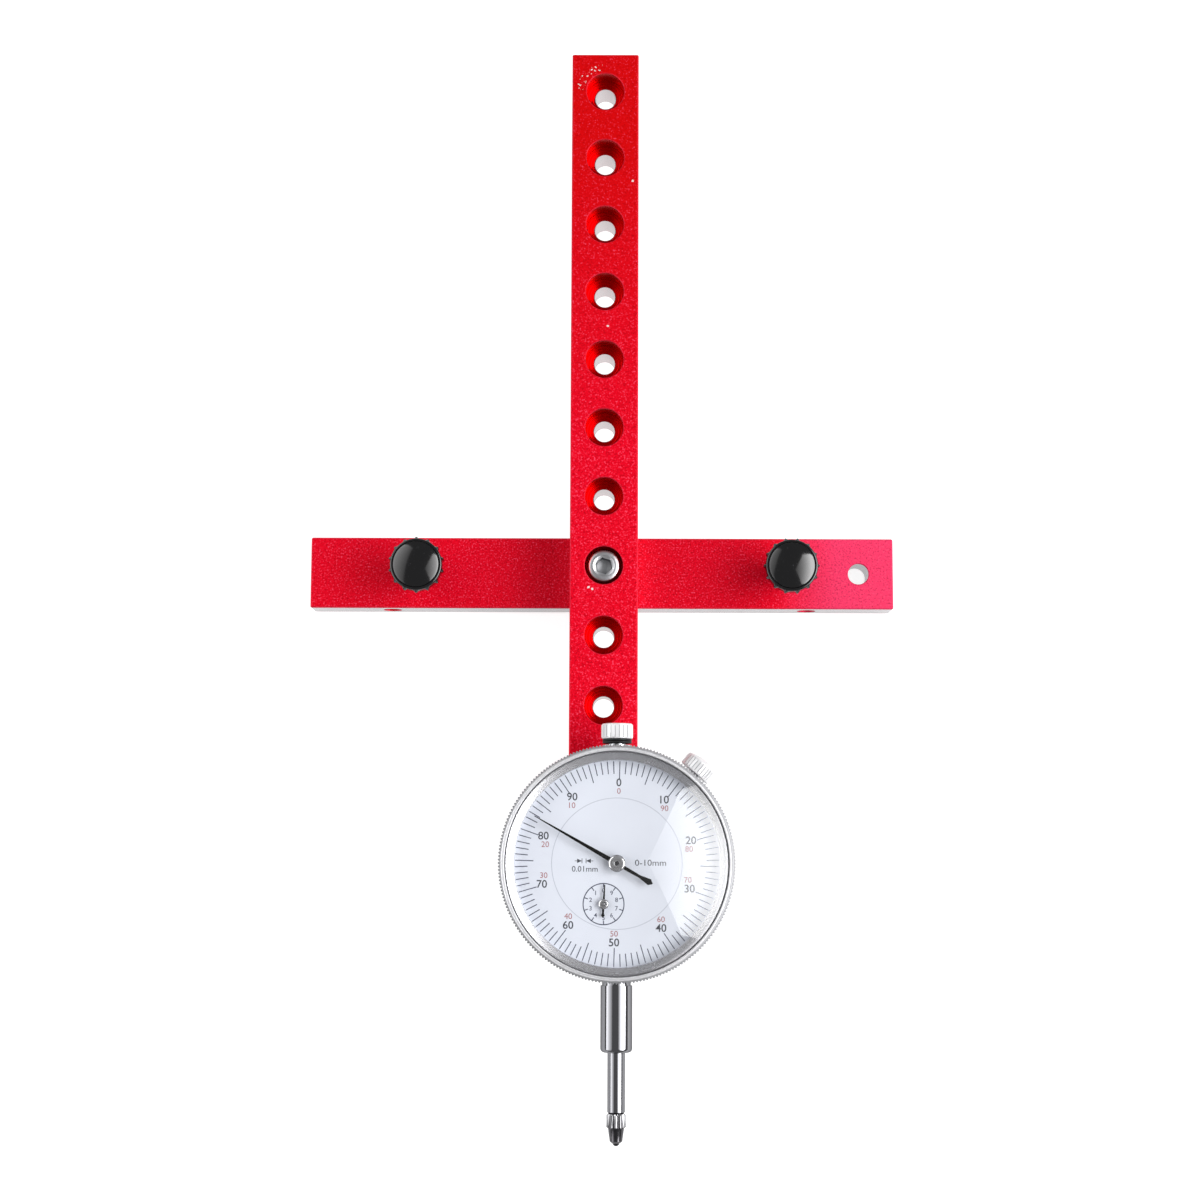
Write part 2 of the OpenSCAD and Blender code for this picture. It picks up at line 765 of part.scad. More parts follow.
module cap_cushion() {
    cushion_r = 3.75;
    bulge = cushion_len / 2;
    color("black") on_spindle() rotate_extrude() difference() {
        translate([0, cap_bottom - cushion_len]) union() {
            square([cushion_r - bulge, cushion_len]);
            translate([cushion_r - bulge, bulge]) circle(r = bulge);
        }
        translate([0, cap_bottom - 2 * cushion_len]) square([spindle_r + 0.02, 3 * cushion_len]);
    }
}

module guide_pin() {
    color("gray") translate([dial_x + 0.1, dial_y + guide_y, spindle_z]) rotate([0, 90, 0])
        cylinder(h = spring_x + 0.8, r = guide_pin_r);
}

// Gear train

// Toothed wheel with a bore, lightened by four round holes, with a tooth towards angle a
module wheel(a) {
    rotate([0, 0, a]) difference() {
        translate([0, 0, wheel_z]) linear_extrude(wheel_t) polygon(gear_outline(wheel_teeth, train_module));
        post(arbor_r, wheel_z - over, wheel_z + wheel_t + over);
        for (i = [0:3]) rotate([0, 0, 45 + 90 * i]) translate([5.5, 0, 0])
            post(2.4, wheel_z - over, wheel_z + wheel_t + over);
    }
}

module pinion_arbor() {
    pinion_z = spindle_z - 1.4;
    color("silver") translate(pinion_at) union() {
        translate([0, 0, pinion_z]) linear_extrude(2.8) polygon(gear_outline(rack_pinion_teeth));
        post(pivot_r, spindle_z - 2.9, pinion_z + slip);
        post(arbor_r, pinion_z + 2.8 - slip, wheel_z + wheel_t + 0.4);
        post(pivot_r, wheel_z + wheel_t, counter_z + 0.7);
    }
}

module drive_wheel() {
    color("goldenrod") translate(pinion_at) wheel(train_angle);
}

module counter_pointer() {
    hub_r = 1.25;
    hand = [[-0.3, 0], [-0.14, 4.75], [0.14, 4.75], [0.3, 0], [0.25, -2.3], [0.48, -2.8], [0, -3.3],
            [-0.48, -2.8], [-0.25, -2.3]];
    color("black") translate(pinion_at) rotate([0, 0, -counter_turn]) difference() {
        union() {
            translate([0, 0, counter_z]) linear_extrude(0.2) polygon(hand);
            turned([[0, counter_z], [hub_r, counter_z], [hub_r, counter_z + 0.4],
                    [hub_r - 0.25, counter_z + 0.6], [0, counter_z + 0.6]]);
        }
        post(pivot_r, counter_z - over, counter_z + over);
    }
}

module centre_arbor() {
    color("silver") at_dial() union() {
        rotate([0, 0, train_angle + 180 / centre_teeth]) translate([0, 0, wheel_z - 0.2])
            linear_extrude(wheel_t + 0.4) polygon(gear_outline(centre_teeth, train_module));
        post(pivot_r, plate_z + 0.1, wheel_z);
        post(0.7, plate_top + 0.1, wheel_z);
        post(0.7, wheel_z + wheel_t, bridge_z - 0.1);
        post(pivot_r, wheel_z + wheel_t, pointer_z + 0.85);
    }
}

module main_pointer() {
    hand = [[-0.55, 0], [-0.1, 23.4], [0.1, 23.4], [0.55, 0], [0.36, -6.5], [0.82, -9.2], [0.15, -10.05],
            [-0.15, -10.05], [-0.82, -9.2], [-0.36, -6.5]];
    color("black") at_dial() rotate([0, 0, -pointer_turn]) difference() {
        union() {
            translate([0, 0, pointer_z]) linear_extrude(0.25) polygon(hand);
            post(1.9, pointer_z, pointer_z + 0.25);
        }
        post(pivot_r, pointer_z - over, pointer_z + over);
    }
}

module pointer_boss() {
    boss_r = 2.1;
    boss_z = pointer_z + 0.25;
    color("silver") at_dial() difference() {
        turned([[0, boss_z], [boss_r, boss_z], [boss_r, boss_z + 0.3], [boss_r - 0.3, boss_z + 0.5],
                [1.1, boss_z + 0.5], [0.8, boss_z + 0.35], [0, boss_z + 0.35]]);
        post(pivot_r, boss_z - over, boss_z + over);
    }
}

module takeup_arbor() {
    color("silver") translate(takeup_at) union() {
        post(pivot_r, plate_z + 0.1, wheel_z);
        post(arbor_r, plate_top + 0.1, bridge_z - 0.1);
        post(pivot_r, bridge_z - 0.2, bridge_top - 0.05);
    }
}

module takeup_wheel() {
    color("goldenrod") translate(takeup_at) wheel(train_angle + 180);
}

// Bezel clamp

clamp_face = bezel_r + 0.4;

module clamp_stud() {
    color("silver") on_clamp() post(1.5, case_bore_r + 0.4, clamp_face + 2.3);
}

module clamp_knob() {
    knob_r = 4.4;
    body_len = 3.4;
    dome_rise = 0.9;
    dome_edge_r = knob_r - 0.4;
    dome_ball_r = (dome_edge_r * dome_edge_r + dome_rise * dome_rise) / (2 * dome_rise);
    color("silver") on_clamp() difference() {
        union() {
            intersection() {
                translate([0, 0, clamp_face]) linear_extrude(body_len) polygon(knurl_outline(24, knob_r, 0.16));
                turned([[0, clamp_face], [knob_r - 0.2, clamp_face], [knob_r + slip, clamp_face + 0.3],
                        [knob_r + slip, clamp_face + body_len - 0.4], [dome_edge_r, clamp_face + body_len],
                        [0, clamp_face + body_len]]);
            }
            translate([0, 0, clamp_face + body_len - slip]) intersection() {
                post(dome_edge_r, 0, dome_rise + slip);
                translate([0, 0, dome_rise + slip - dome_ball_r]) sphere(r = dome_ball_r);
            }
        }
        post(1.5 + slip, clamp_face - over, clamp_face + 2.4);
    }
}

mitre_bar();
arm_screw();
long_bar();
lug_screw();
left_stud();
left_knob();
right_stud();
right_knob();
case_body();
stem();
lower_bush();
upper_bush();
back_cover();
back_screws();
lower_plate();
plate_screws();
plate_pillars();
upper_plate();
bridge_screws();
pinion_bridge();
guide_plate();
spring_post();
return_spring();
hairspring();
hairspring_stud();
dial_centre();
dial_feet();
bezel_spring();
bezel_ring();
dial_ring();
liner_ring();
crystal();
crystal_gasket();
spindle_rod();
contact_point();
lifting_cap();
cap_cushion();
guide_pin();
pinion_arbor();
drive_wheel();
counter_pointer();
centre_arbor();
main_pointer();
pointer_boss();
takeup_arbor();
takeup_wheel();
hairspring_collet();
clamp_stud();
clamp_knob();
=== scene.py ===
"""Looks of a mitre-slot alignment gauge with a lug-mounted dial indicator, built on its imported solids.

Sizes are in millimetres in the frame of the solids: the origin is on the mitre bar's underside below the
crossing screw, X runs along the mitre bar, Y along the long bar away from the dial, and Z points up. Names
that end in _r are radii, in _z heights in that frame, and in _h heights of a piece itself.
"""

from __future__ import annotations

import logging
import math
from dataclasses import dataclass
from enum import Enum
from typing import Callable, Mapping, Sequence

import bpy
from mathutils import Matrix, Vector

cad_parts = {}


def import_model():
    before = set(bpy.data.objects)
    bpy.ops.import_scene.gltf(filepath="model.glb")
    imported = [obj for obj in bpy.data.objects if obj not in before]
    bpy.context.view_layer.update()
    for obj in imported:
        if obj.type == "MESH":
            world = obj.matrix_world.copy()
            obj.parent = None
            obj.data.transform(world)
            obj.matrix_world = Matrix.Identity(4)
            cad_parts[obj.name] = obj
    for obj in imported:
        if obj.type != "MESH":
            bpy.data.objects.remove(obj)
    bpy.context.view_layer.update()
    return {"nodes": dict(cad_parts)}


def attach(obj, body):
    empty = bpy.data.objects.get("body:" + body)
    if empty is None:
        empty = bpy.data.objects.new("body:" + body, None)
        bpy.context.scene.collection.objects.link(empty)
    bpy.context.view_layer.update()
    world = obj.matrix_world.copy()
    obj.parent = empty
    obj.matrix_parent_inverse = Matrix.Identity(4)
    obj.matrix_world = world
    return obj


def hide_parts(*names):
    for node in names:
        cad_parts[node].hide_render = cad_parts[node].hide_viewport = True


LOG = logging.getLogger("gauge")
MM = 0.001
TURN = 2 * math.pi

# Thickness of printed ink, the dial's centre along X and Y, and the height of the spindle's axis
INK = 0.02
DIAL_AT = (3.56, -77.3)
SPINDLE_Z = 36.0

Point = tuple[float, float]
Place = tuple[float, float, float]
Colour = tuple[float, float, float, float]
Settings = Mapping[str | int, object]
Piece = bpy.types.Object


# Shader helpers


def linear(hex_colour: str) -> Colour:
    """Turns an sRGB hex colour into linear red, green, blue and alpha.

    Args:
        hex_colour: six hex digits after a hash.

    Returns:
        The linear colour with an alpha of 1.
    """
    parts = [int(hex_colour[i : i + 2], 16) / 255 for i in (1, 3, 5)]
    red, green, blue = (c / 12.92 if c <= 0.04045 else ((c + 0.055) / 1.055) ** 2.4 for c in parts)
    return red, green, blue, 1.0


def put(node: bpy.types.Node, settings: Settings) -> None:
    """Links fields to a node's inputs, and sets constants on its other inputs and its own properties.

    Args:
        node: the node.
        settings: fields or values, by the name of a property or the name or number of an input.
    """
    for key, value in settings.items():
        if isinstance(value, Field):
            node.id_data.links.new(value.socket, node.inputs[key])
        elif isinstance(key, str) and hasattr(node, key):
            setattr(node, key, value)
        else:
            node.inputs[key].default_value = value


def add_node(tree: bpy.types.NodeTree, kind: str, settings: Settings, output: str | int = 0) -> Field:
    """Adds a shader node with its settings.

    Args:
        tree: the node tree that gets the node.
        kind: Blender's name of the node type, without what all the names begin with.
        settings: what put takes.
        output: name or number of the output that is used.

    Returns:
        That output as a field.
    """
    node = tree.nodes.new("ShaderNode" + kind)
    put(node, settings)
    return Field(node.outputs[output])


@dataclass(frozen=True)
class Field:
    """A value that varies over a surface, as a node's output. Its operators add Math nodes."""

    socket: bpy.types.NodeSocket

    def node(self, kind: str, settings: Settings, output: str | int = 0) -> Field:
        """Adds a node to this field's tree and gives one of its outputs."""
        return add_node(self.socket.id_data, kind, settings, output)

    def math(self, operation: str, *others: float | Field) -> Field:
        """Adds a Math node on this field and others."""
        return self.node("Math", {"operation": operation, **dict(enumerate((self, *others)))})

    def __add__(self, other: float | Field) -> Field:
        """Gives the sum."""
        return self.math("ADD", other)

    def __mul__(self, other: float | Field) -> Field:
        """Gives the product."""
        return self.math("MULTIPLY", other)

    def __or__(self, other: float | Field) -> Field:
        """Gives the larger of the two."""
        return self.math("MAXIMUM", other)

    def __lt__(self, other: float | Field) -> Field:
        """Gives 1 where this is smaller, and 0 elsewhere."""
        return self.math("LESS_THAN", other)

    def __gt__(self, other: float | Field) -> Field:
        """Gives 1 where this is larger, and 0 elsewhere."""
        return self.math("GREATER_THAN", other)

    def __abs__(self) -> Field:
        """Gives the value without its sign."""
        return self.math("ABSOLUTE")

    def ramp(self, low: float, high: float, first: float = 0.0, last: float = 1.0) -> Field:
        """Stretches the range low to high to the range first to last, and holds it at the ends."""
        ends = {"From Min": low, "From Max": high, "To Min": first, "To Max": last}
        return self.node("MapRange", {"Value": self, **ends})

    def turn_to(self, first: float, last: float) -> Field:
        """Turns a mask of 0 and 1 to two other values."""
        return self.ramp(0, 1, first, last)

    def blend(self, under: str | Field, over: str | Field) -> Field:
        """Mixes two colours, each a hex colour or a field, by this share of the second."""
        first, second = (linear(c) if isinstance(c, str) else c for c in (under, over))
        return self.node("Mix", {"data_type": "RGBA", 0: self, 6: first, 7: second}, 2)

    def noise(self, size: float, detail: float = 2.0) -> Field:
        """Gives a cloud pattern from 0 to 1 at this point, with patches of a size in millimetres."""
        return self.node("TexNoise", {"Scale": 1 / (size * MM), "Detail": detail, "Vector": self}, "Fac")

    def wave(self, length: float) -> Field:
        """Gives a sine wave along this distance, with a length in millimetres."""
        return (self * (TURN / (length * MM))).math("SINE")

    def axes(self) -> tuple[Field, ...]:
        """Splits a vector into its X, Y and Z."""
        return tuple(self.node("SeparateXYZ", {0: self}, axis) for axis in "XYZ")


def away_from(first: Field, second: Field, centre: Point) -> Field:
    """Finds the distance from an axis across two coordinates.

    Args:
        first: the coordinate across, in metres.
        second: the coordinate along, in metres.
        centre: the axis's place along both, in millimetres.

    Returns:
        The distance in metres.
    """
    across, along = (axis + -place * MM for axis, place in zip((first, second), centre))
    flat = first.node("CombineXYZ", {"X": across, "Y": along})
    return flat.node("VectorMath", {"operation": "LENGTH", 0: flat}, "Value")


@dataclass(frozen=True)
class Surface:
    """A material while it is made: its Principled node, and the surface point in metres."""

    shader: bpy.types.Node
    where: Field

    def normal(self) -> Field:
        """Finds the flat normal along the object's own axes, so that it turns with the object.

        Returns:
            The normal as a field.
        """
        normal = self.where.node("NewGeometry", {}, "True Normal")
        ways = {"vector_type": "NORMAL", "convert_from": "WORLD", "convert_to": "OBJECT"}
        return normal.node("VectorTransform", {**ways, 0: normal})

    def relief(self, height: Field, depth: float) -> None:
        """Puts a height pattern from 0 to 1 into the normal, with its depth in millimetres."""
        bump = height.node("Bump", {"Strength": 1.0, "Distance": depth * MM, "Height": height})
        put(self.shader, {"Normal": bump})


@dataclass(frozen=True)
class Finish:
    """A surface finish: what the material is, and its plain colour and gloss."""

    name: str  # The material's common name and how its surface was made
    colour: str
    roughness: float
    metallic: float = 0.0
    # Strength of the mirror light, 0.5 for most, or of a metal's at its grazing edge, 0.5 for full
    shine: float = 0.5

    def material(self) -> bpy.types.Material:
        """Makes the material once and returns it each time.

        Returns:
            The Blender material of this finish.
        """
        made = bpy.data.materials.get(self.name)
        if made is not None:
            return made
        made = bpy.data.materials.new(self.name)
        made.use_nodes = True
        shader = made.node_tree.nodes["Principled BSDF"]
        plain = {"Base Color": linear(self.colour), "Roughness": self.roughness, "Metallic": self.metallic}
        grazing = {"Specular Tint": (*[2 * self.shine] * 3, 1.0)}
        put(shader, {**plain, **(grazing if self.metallic else {"Specular IOR Level": self.shine})})
        self.detail(Surface(shader, add_node(made.node_tree, "TexCoord", {}, "Object")))
        return made

    def detail(self, surface: Surface) -> None:
        """Adds a faint cloud in the gloss, which every handled surface has."""
        self.spread_gloss(surface, surface.where.noise(6, 3.0), 0.05)

    def spread_gloss(self, surface: Surface, pattern: Field, spread: float) -> None:
        """Lets a pattern from 0 to 1 move the roughness up and down by spread."""
        low, high = max(0.02, self.roughness - spread), min(1.0, self.roughness + spread)
        put(surface.shader, {"Roughness": pattern.turn_to(low, high)})


@dataclass(frozen=True)
class AnodisedAluminium(Finish):
    """Bead-blasted aluminium dyed red in its oxide: a sparkling grain, glossy sides, bare drilled holes."""

    # Size of the blasting grain, drawn at 0.45 mm, coarser than the real 0.1 mm, so that it shows
    grain: float = 0.45
    hole_at: Point = (0.0, 0.0)  # Place of the holes' axis along X and Y
    hole_pitch: float = 0.0  # Distance from hole to hole along Y, or 0 for a single hole
    hole_r: float = 2.95  # Radius inside which a hole's wall is bare
    bare_top: float = 19.3  # Height below which the holes are bare
    bore_r: float = 0.0  # Radius of the counterbores, whose walls and floors are smooth and get a painted shade, or 0 for none
    bore_top: float = 25.3  # Height of the counterbores' upper edge
    floor_z: float = 0.0  # Height below which a counterbore's floor shows the cutter's rings, or 0 for none
    cutter: float = 0.75  # Distance from one of those rings to the next
    chips: tuple[Place, ...] = ()  # Places where the dye is chipped off
    worn_y: float = 1000.0  # Place along Y beyond which a washer has scratched a ring round the hole
    washer: Point = (6.7, 1.0)  # Radius and half-width of that ring
    deep_y: Point = (30.0, 110.0)  # Places along Y between which a painted shade darkens the red and weakens its grain
    pale_x: Point = (1000.0, 1016.0)  # Places along X between which a painted highlight turns the red pale pink
    # Distances from the middle along X and Y at which the long sides are milled bare, or 0 for none
    milled: Point = (0.0, 0.0)
    draw: Point = (0.93, 0.37)  # Lengths of the two waves that make the milled sides' lines

    def detail(self, surface: Surface) -> None:
        """Adds grain, cloudy dye, painted shade and highlights, glossy sides, cutter rings, chips and bare
        metal.

        Args:
            surface: the material's shader and point.
        """
        where, facing = surface.where, surface.normal().axes()
        x, y, z = where.axes()
        half = self.hole_pitch / 2 * MM
        away = away_from(x, y.math("WRAP", half, -half) if half else y, self.hole_at)
        bored = (away < (self.bore_r + 0.02) * MM) * (z < self.bore_top * MM)
        far = y.ramp(*(place * MM for place in self.deep_y))
        grain = (where.noise(self.grain) + -0.5) * (bored.turn_to(1.0, 0.0) * far.turn_to(1.0, 0.7)) + 0.5
        chamfer_highlight = facing[2].math("COMPARE", 0.707, 0.15) * 0.16
        bare = (away < self.hole_r * MM) * (z < self.bare_top * MM)
        dye_and_painted_light = where.noise(14, 4.0).blend("#EC001E", self.colour)
        # Painted shade: the red darkens far along Y and inside the counterbores.
        dye_and_painted_light = (far | bored).blend(dye_and_painted_light, "#DE0006")
        # Painted highlight: the red turns pale pink towards the high end along X.
        dye_and_painted_light = x.ramp(*(place * MM for place in self.pale_x), 0.0, 0.9).blend(dye_and_painted_light, "#FF4070")
        dye_and_painted_light = grain.ramp(0.47, 0.3, 0.0, 0.5).blend(dye_and_painted_light, "#8A0008")
        # Painted highlight: faces slanted near 45 degrees, the chamfers, turn pale pink, as do the brightest
        # grains.
        dye_and_painted_light = (chamfer_highlight | grain.ramp(0.57, 0.7, 0.0, 0.6)).blend(dye_and_painted_light, "#FF5C80")
        dye_and_painted_light = self.lost_dye(where, away).blend(dye_and_painted_light, "#F4E6E6")
        dye_and_painted_light = bare.blend(dye_and_painted_light, "#DCDCDE")
        lines = (z.wave(self.draw[0]) * z.wave(self.draw[1])).ramp(-0.6, 0.6).blend("#C6C6C9", "#E8E8EA")
        for place, outward, reach in zip((x, y), facing, self.milled):
            if reach:
                milled = (abs(place) > (reach - 0.05) * MM) * (abs(outward) > 0.9)
                dye_and_painted_light = milled.blend(dye_and_painted_light, lines)
                bare = bare | milled
        side = abs(facing[2]) < 0.3
        sleek = side | bored
        gloss = grain.turn_to(self.roughness - 0.1, self.roughness + 0.1) * sleek.turn_to(1.0, 0.55)
        put(surface.shader, {
            "Base Color": dye_and_painted_light,
            "Metallic": bare | bored.turn_to(self.metallic, 0.85),
            "Roughness": gloss,
            "Specular IOR Level": 0.1,
            "Coat IOR": 1.77,
            "Coat Roughness": sleek.turn_to(0.3, 0.14),
            "Coat Weight": side.turn_to(0.02, 1.0) * bored.turn_to(1.0, 0.1) * bare.turn_to(1.0, 0.0),
        })
        rings = away.wave(self.cutter) * (z < self.floor_z * MM)
        surface.relief(rings * 1.6 + grain, 0.025)

    def lost_dye(self, where: Field, away: Field) -> Field:
        """Finds the chips, and the scratches of a washer at the upper left of the last hole.

        Args:
            where: the surface point in metres.
            away: its distance from the nearest hole's axis.

        Returns:
            A field that is 1 where the dye is gone.
        """
        x, y, _ = where.axes()
        band = away.math("COMPARE", *(size * MM for size in self.washer))
        torn = where.noise(0.8, 4.0).ramp(0.6, 0.64)
        ragged = where.noise(0.4, 3.0) * (0.5 * MM)
        lost = band * (y > self.worn_y * MM) * (x < -0.8 * MM) * torn
        for chip in self.chips:
            ends = {"operation": "DISTANCE", 0: where, 1: Vector(chip) * MM}
            lost = lost | (where.node("VectorMath", ends, "Value") + ragged).ramp(0.62 * MM, 0.5 * MM)
        return lost


class Lay(Enum):
    """Axis along which a turned surface's fine rings follow one another."""

    ALONG_Y = (0, 1, 0)
    ALONG_Z = (0, 0, 1)


@dataclass(frozen=True)
class TurnedMetal(Finish):
    """Metal turned or ground on a lathe: fine rings that follow one another along the axis."""

    lay: Lay = Lay.ALONG_Y
    ring: float = 0.3  # Distance from ring to ring, drawn at 0.3 mm or more so that it shows
    depth: float = 0.0006  # Depth of the rings in millimetres
    spread: float = 0.05  # How far the gloss varies
    dents: float = 0.0  # Depth of dents about 0.9 mm wide, as on a forged head
    grime: float = 0.0  # Share of painted shade, a dark grey, in corners less than 2 mm deep

    def detail(self, surface: Surface) -> None:
        """Adds rings along the axis, a cloud of handling marks in the gloss, dents and painted shade in
        corners.

        Args:
            surface: the material's shader and point.
        """
        where = surface.where
        scale = tuple(1 / (self.ring * MM) if part else 12.0 for part in self.lay.value)
        rings = where.node("Mapping", {"Scale": scale, "Vector": where}).noise(1 / MM, 3.0)
        self.spread_gloss(surface, (rings + where.noise(4, 3.0)) * 0.5, self.spread)
        surface.relief(rings + where.noise(0.9) * (self.dents / self.depth), self.depth)
        # Painted shade: ambient occlusion blends the colour towards a dark grey in corners.
        if self.grime:
            corner = where.node("AmbientOcclusion", {"only_local": True, "Distance": 2 * MM}, "AO")
            painted_corner_shade = corner.ramp(0.9, 0.45, 0.0, self.grime)
            put(surface.shader, {"Base Color": painted_corner_shade.blend(self.colour, "#3A3A3E")})


@dataclass(frozen=True)
class BlastedChrome(Finish):
    """Satin chrome over a blasted casting: a fine sparkle, as each pit mirrors its own part of the room."""

    grain: float = 0.3  # Size of the pits, drawn at 0.3 mm, coarser than the real 0.05 mm, so that they show
    grip_r: float = 28.4  # Radius beyond which the ring gets a painted shade, a darker grey

    def detail(self, surface: Surface) -> None:
        """Adds the pits, their sparkle and the painted shade on the outer band.

        Args:
            surface: the material's shader and point.
        """
        cells = {"Scale": 1 / (self.grain * MM), "Vector": surface.where}
        sparkle, pits = (surface.where.node("TexVoronoi", cells, name) for name in ("Color", "Distance"))
        x, y, _ = surface.where.axes()
        # Painted shade: the ring's outer band is blended towards a dark grey.
        band_shade = away_from(x, y, DIAL_AT).ramp(self.grip_r * MM, (self.grip_r + 0.3) * MM, 0.0, 0.6)
        tint = sparkle.turn_to(0.75, 1.0).blend("#8E8F93", self.colour)
        put(surface.shader, {"Base Color": band_shade.blend(tint, "#77787C")})
        self.spread_gloss(surface, sparkle, 0.1)
        surface.relief(pits, 0.006)


@dataclass(frozen=True)
class MouldedPlastic(Finish):
    """Glossy moulded plastic: a slow waviness from shrinking in the mould, a little dust, and dull sides."""

    side_shine: float = 0.12  # What shine becomes on upright sides

    def detail(self, surface: Surface) -> None:
        """Adds the waviness, the dust and the duller sides.

        Args:
            surface: the material's shader and point.
        """
        polish = surface.normal().axes()[2].ramp(0.5, 0.7, self.side_shine, self.shine)
        dust = surface.where.noise(0.5)
        tint = dust.ramp(0.66, 0.78, 0.0, 0.3).blend(self.colour, "#5A5A60")
        put(surface.shader, {"Specular IOR Level": polish, "Base Color": tint})
        self.spread_gloss(surface, dust, 0.05)
        surface.relief(surface.where.noise(5, 1.0), 0.02)


@dataclass(frozen=True)
class ContactSteel(Finish):
    """Hardened steel contact point: a bright fluted collar, and a nose left dark by the heat treatment."""

    nose_y: float = -142.45  # Place along Y below which the steel is dark
    flute_r: float = 2.33  # Distance from the axis below which a flute is dark at its lower end
    flute_taper: float = 0.07  # How much that distance shrinks for each millimetre up the flute

    def detail(self, surface: Surface) -> None:
        """Darkens the nose and the flutes, and adds a cloud of heat colour.

        Args:
            surface: the material's shader and point.
        """
        x, y, z = surface.where.axes()
        level = y * self.flute_taper + away_from(x, z, (DIAL_AT[0], SPINDLE_Z))
        deep = level < (self.flute_r + self.flute_taper * self.nose_y) * MM
        cloud = surface.where.noise(0.8, 3.0)
        dark = cloud.blend("#48474A", "#6E6C70")
        put(surface.shader, {"Base Color": (deep | (y < self.nose_y * MM)).blend(self.colour, dark)})
        self.spread_gloss(surface, cloud, 0.05)


@dataclass(frozen=True)
class ClearPolycarbonate(Finish):
    """Moulded polycarbonate lens: clear, with a hard polish that mirrors the room on its right half only."""

    fade: Point = (-5.0, 11.0)  # Places along X where the mirror light begins and is full

    def detail(self, surface: Surface) -> None:
        """Lets light through, fades the mirror light, and adds a faint wipe haze to the polish.

        Args:
            surface: the material's shader and point.
        """
        mirror = surface.where.axes()[0].ramp(*(place * MM for place in self.fade))
        haze = surface.where.noise(9).turn_to(0.0, 0.03)
        clear = {"Transmission Weight": 1.0, "IOR": 1.58}
        put(surface.shader, {**clear, "Specular Tint": mirror, "Roughness": haze})


@dataclass(frozen=True)
class Enamel(Finish):
    """Baked enamel on a dial plate: an even coat with a faint orange peel."""

    def detail(self, surface: Surface) -> None:
        """Adds the orange peel and a faint change of tint.

        Args:
            surface: the material's shader and point.
        """
        peel = surface.where.noise(0.7)
        cloud = surface.where.noise(12).ramp(0.3, 0.7, 0.0, 0.2)
        put(surface.shader, {"Base Color": cloud.blend(self.colour, "#C9CDD8")})
        self.spread_gloss(surface, peel, 0.04)
        surface.relief(peel, 0.003)


@dataclass(frozen=True)
class Ink(Finish):
    """Pad-printed ink: flat, and slightly uneven where the pad left less."""

    def detail(self, surface: Surface) -> None:
        """Thins the ink here and there."""
        thin = surface.where.noise(0.6).turn_to(0.0, 0.16)
        put(surface.shader, {"Base Color": thin.blend(self.colour, "#D8DCE6")})


BAR_RED = AnodisedAluminium(
    "red anodised aluminium, bead-blasted", "#F80028", 0.46, 0.4, hole_at=(68.1, 0.0), bare_top=9.2,
    pale_x=(46.0, 62.0), milled=(0.0, 9.5),
)
DRILLED_RED = AnodisedAluminium(
    "red anodised aluminium, drilled after dyeing", "#F80028", 0.46, 0.4, hole_pitch=18.3, floor_z=19.6,
    bore_r=5.0, milled=(8.9, 0.0), worn_y=128.6,
    chips=((7.3, 103.4, 25.5), (0.85, 63.8, 25.5), (-4.0, -5.8, 25.5), (-3.0, -6.25, 25.5)),
)
ZINC = TurnedMetal("zinc-plated steel, forged", "#C6C7CB", 0.36, 1.0, lay=Lay.ALONG_Z, dents=0.03, grime=0.8)
STEEL = TurnedMetal("ground steel, polished", "#98989C", 0.09, 1.0, 0.2, ring=1.2, depth=0.0003, spread=0.03)
CHROME = TurnedMetal("bright chrome on brass, turned", "#DADADD", 0.2, 1.0, ring=0.6, depth=0.0003)
NICKEL = TurnedMetal("nickel on brass, satin", "#F8F8FA", 0.34, 0.3, ring=0.6, depth=0.0003, grime=0.7)
SATIN_CHROME = BlastedChrome("satin chrome, blasted", "#E6E6E9", 0.5, 0.6)
CASE_METAL = TurnedMetal("nickel-plated die casting, satin", "#BDBEC2", 0.32, 1.0, lay=Lay.ALONG_Z)
LINER = TurnedMetal(
    "aluminium liner, satin turned", "#D0D0D4", 0.27, 1.0, lay=Lay.ALONG_Z, depth=0.0002, spread=0.02
)
BRASS = TurnedMetal("brass, turned and lacquered", "#C09A4A", 0.28, 1.0, lay=Lay.ALONG_Z)
SPRING = TurnedMetal("spring steel, drawn wire", "#8C8D93", 0.3, 1.0, ring=0.5)
KNOB = MouldedPlastic("phenolic plastic, moulded gloss", "#050507", 0.11, shine=1.0)
RUBBER = Finish("nitrile rubber, moulded", "#0C0C0E", 0.5)
GASKET = Finish("silicone rubber, grey", "#5C5C60", 0.5)
POINT = ContactSteel("tool steel, hardened", "#C4C4C7", 0.16, 1.0)
CRYSTAL = ClearPolycarbonate("polycarbonate, moulded clear", "#FFFFFF", 0.02)
DIAL_WHITE = Enamel("enamel, baked white", "#D7DBE5", 0.45)
INK_DARK = Ink("ink, pad-printed slate", "#34384E", 0.6, shine=0.1)
INK_BLACK = Ink("ink, pad-printed black", "#26272F", 0.6, shine=0.1)
INK_RED = Ink("ink, pad-printed brick", "#9C5A5C", 0.6, shine=0.1)
# Painted shadow of the dial's seam, a grey ring in the finish of ink
SEAM_SHADOW = Ink("grey paint, a painted seam shadow", "#B4B8C4", 0.6, shine=0.1)
HAND_BLACK = MouldedPlastic("black lacquer on brass", "#060607", 0.4, shine=0.2)


# Mesh helpers


def clear_selection() -> None:
    """Leaves edit mode and deselects every object."""
    if bpy.context.object is not None and bpy.context.object.mode != "OBJECT":
        bpy.ops.object.mode_set(mode="OBJECT")
    bpy.ops.object.select_all(action="DESELECT")


def focus(piece: Piece) -> None:
    """Makes a piece the only selected object and the active one.

    Args:
        piece: the piece.
    """
    clear_selection()
    piece.select_set(True)
    bpy.context.view_layer.objects.active = piece


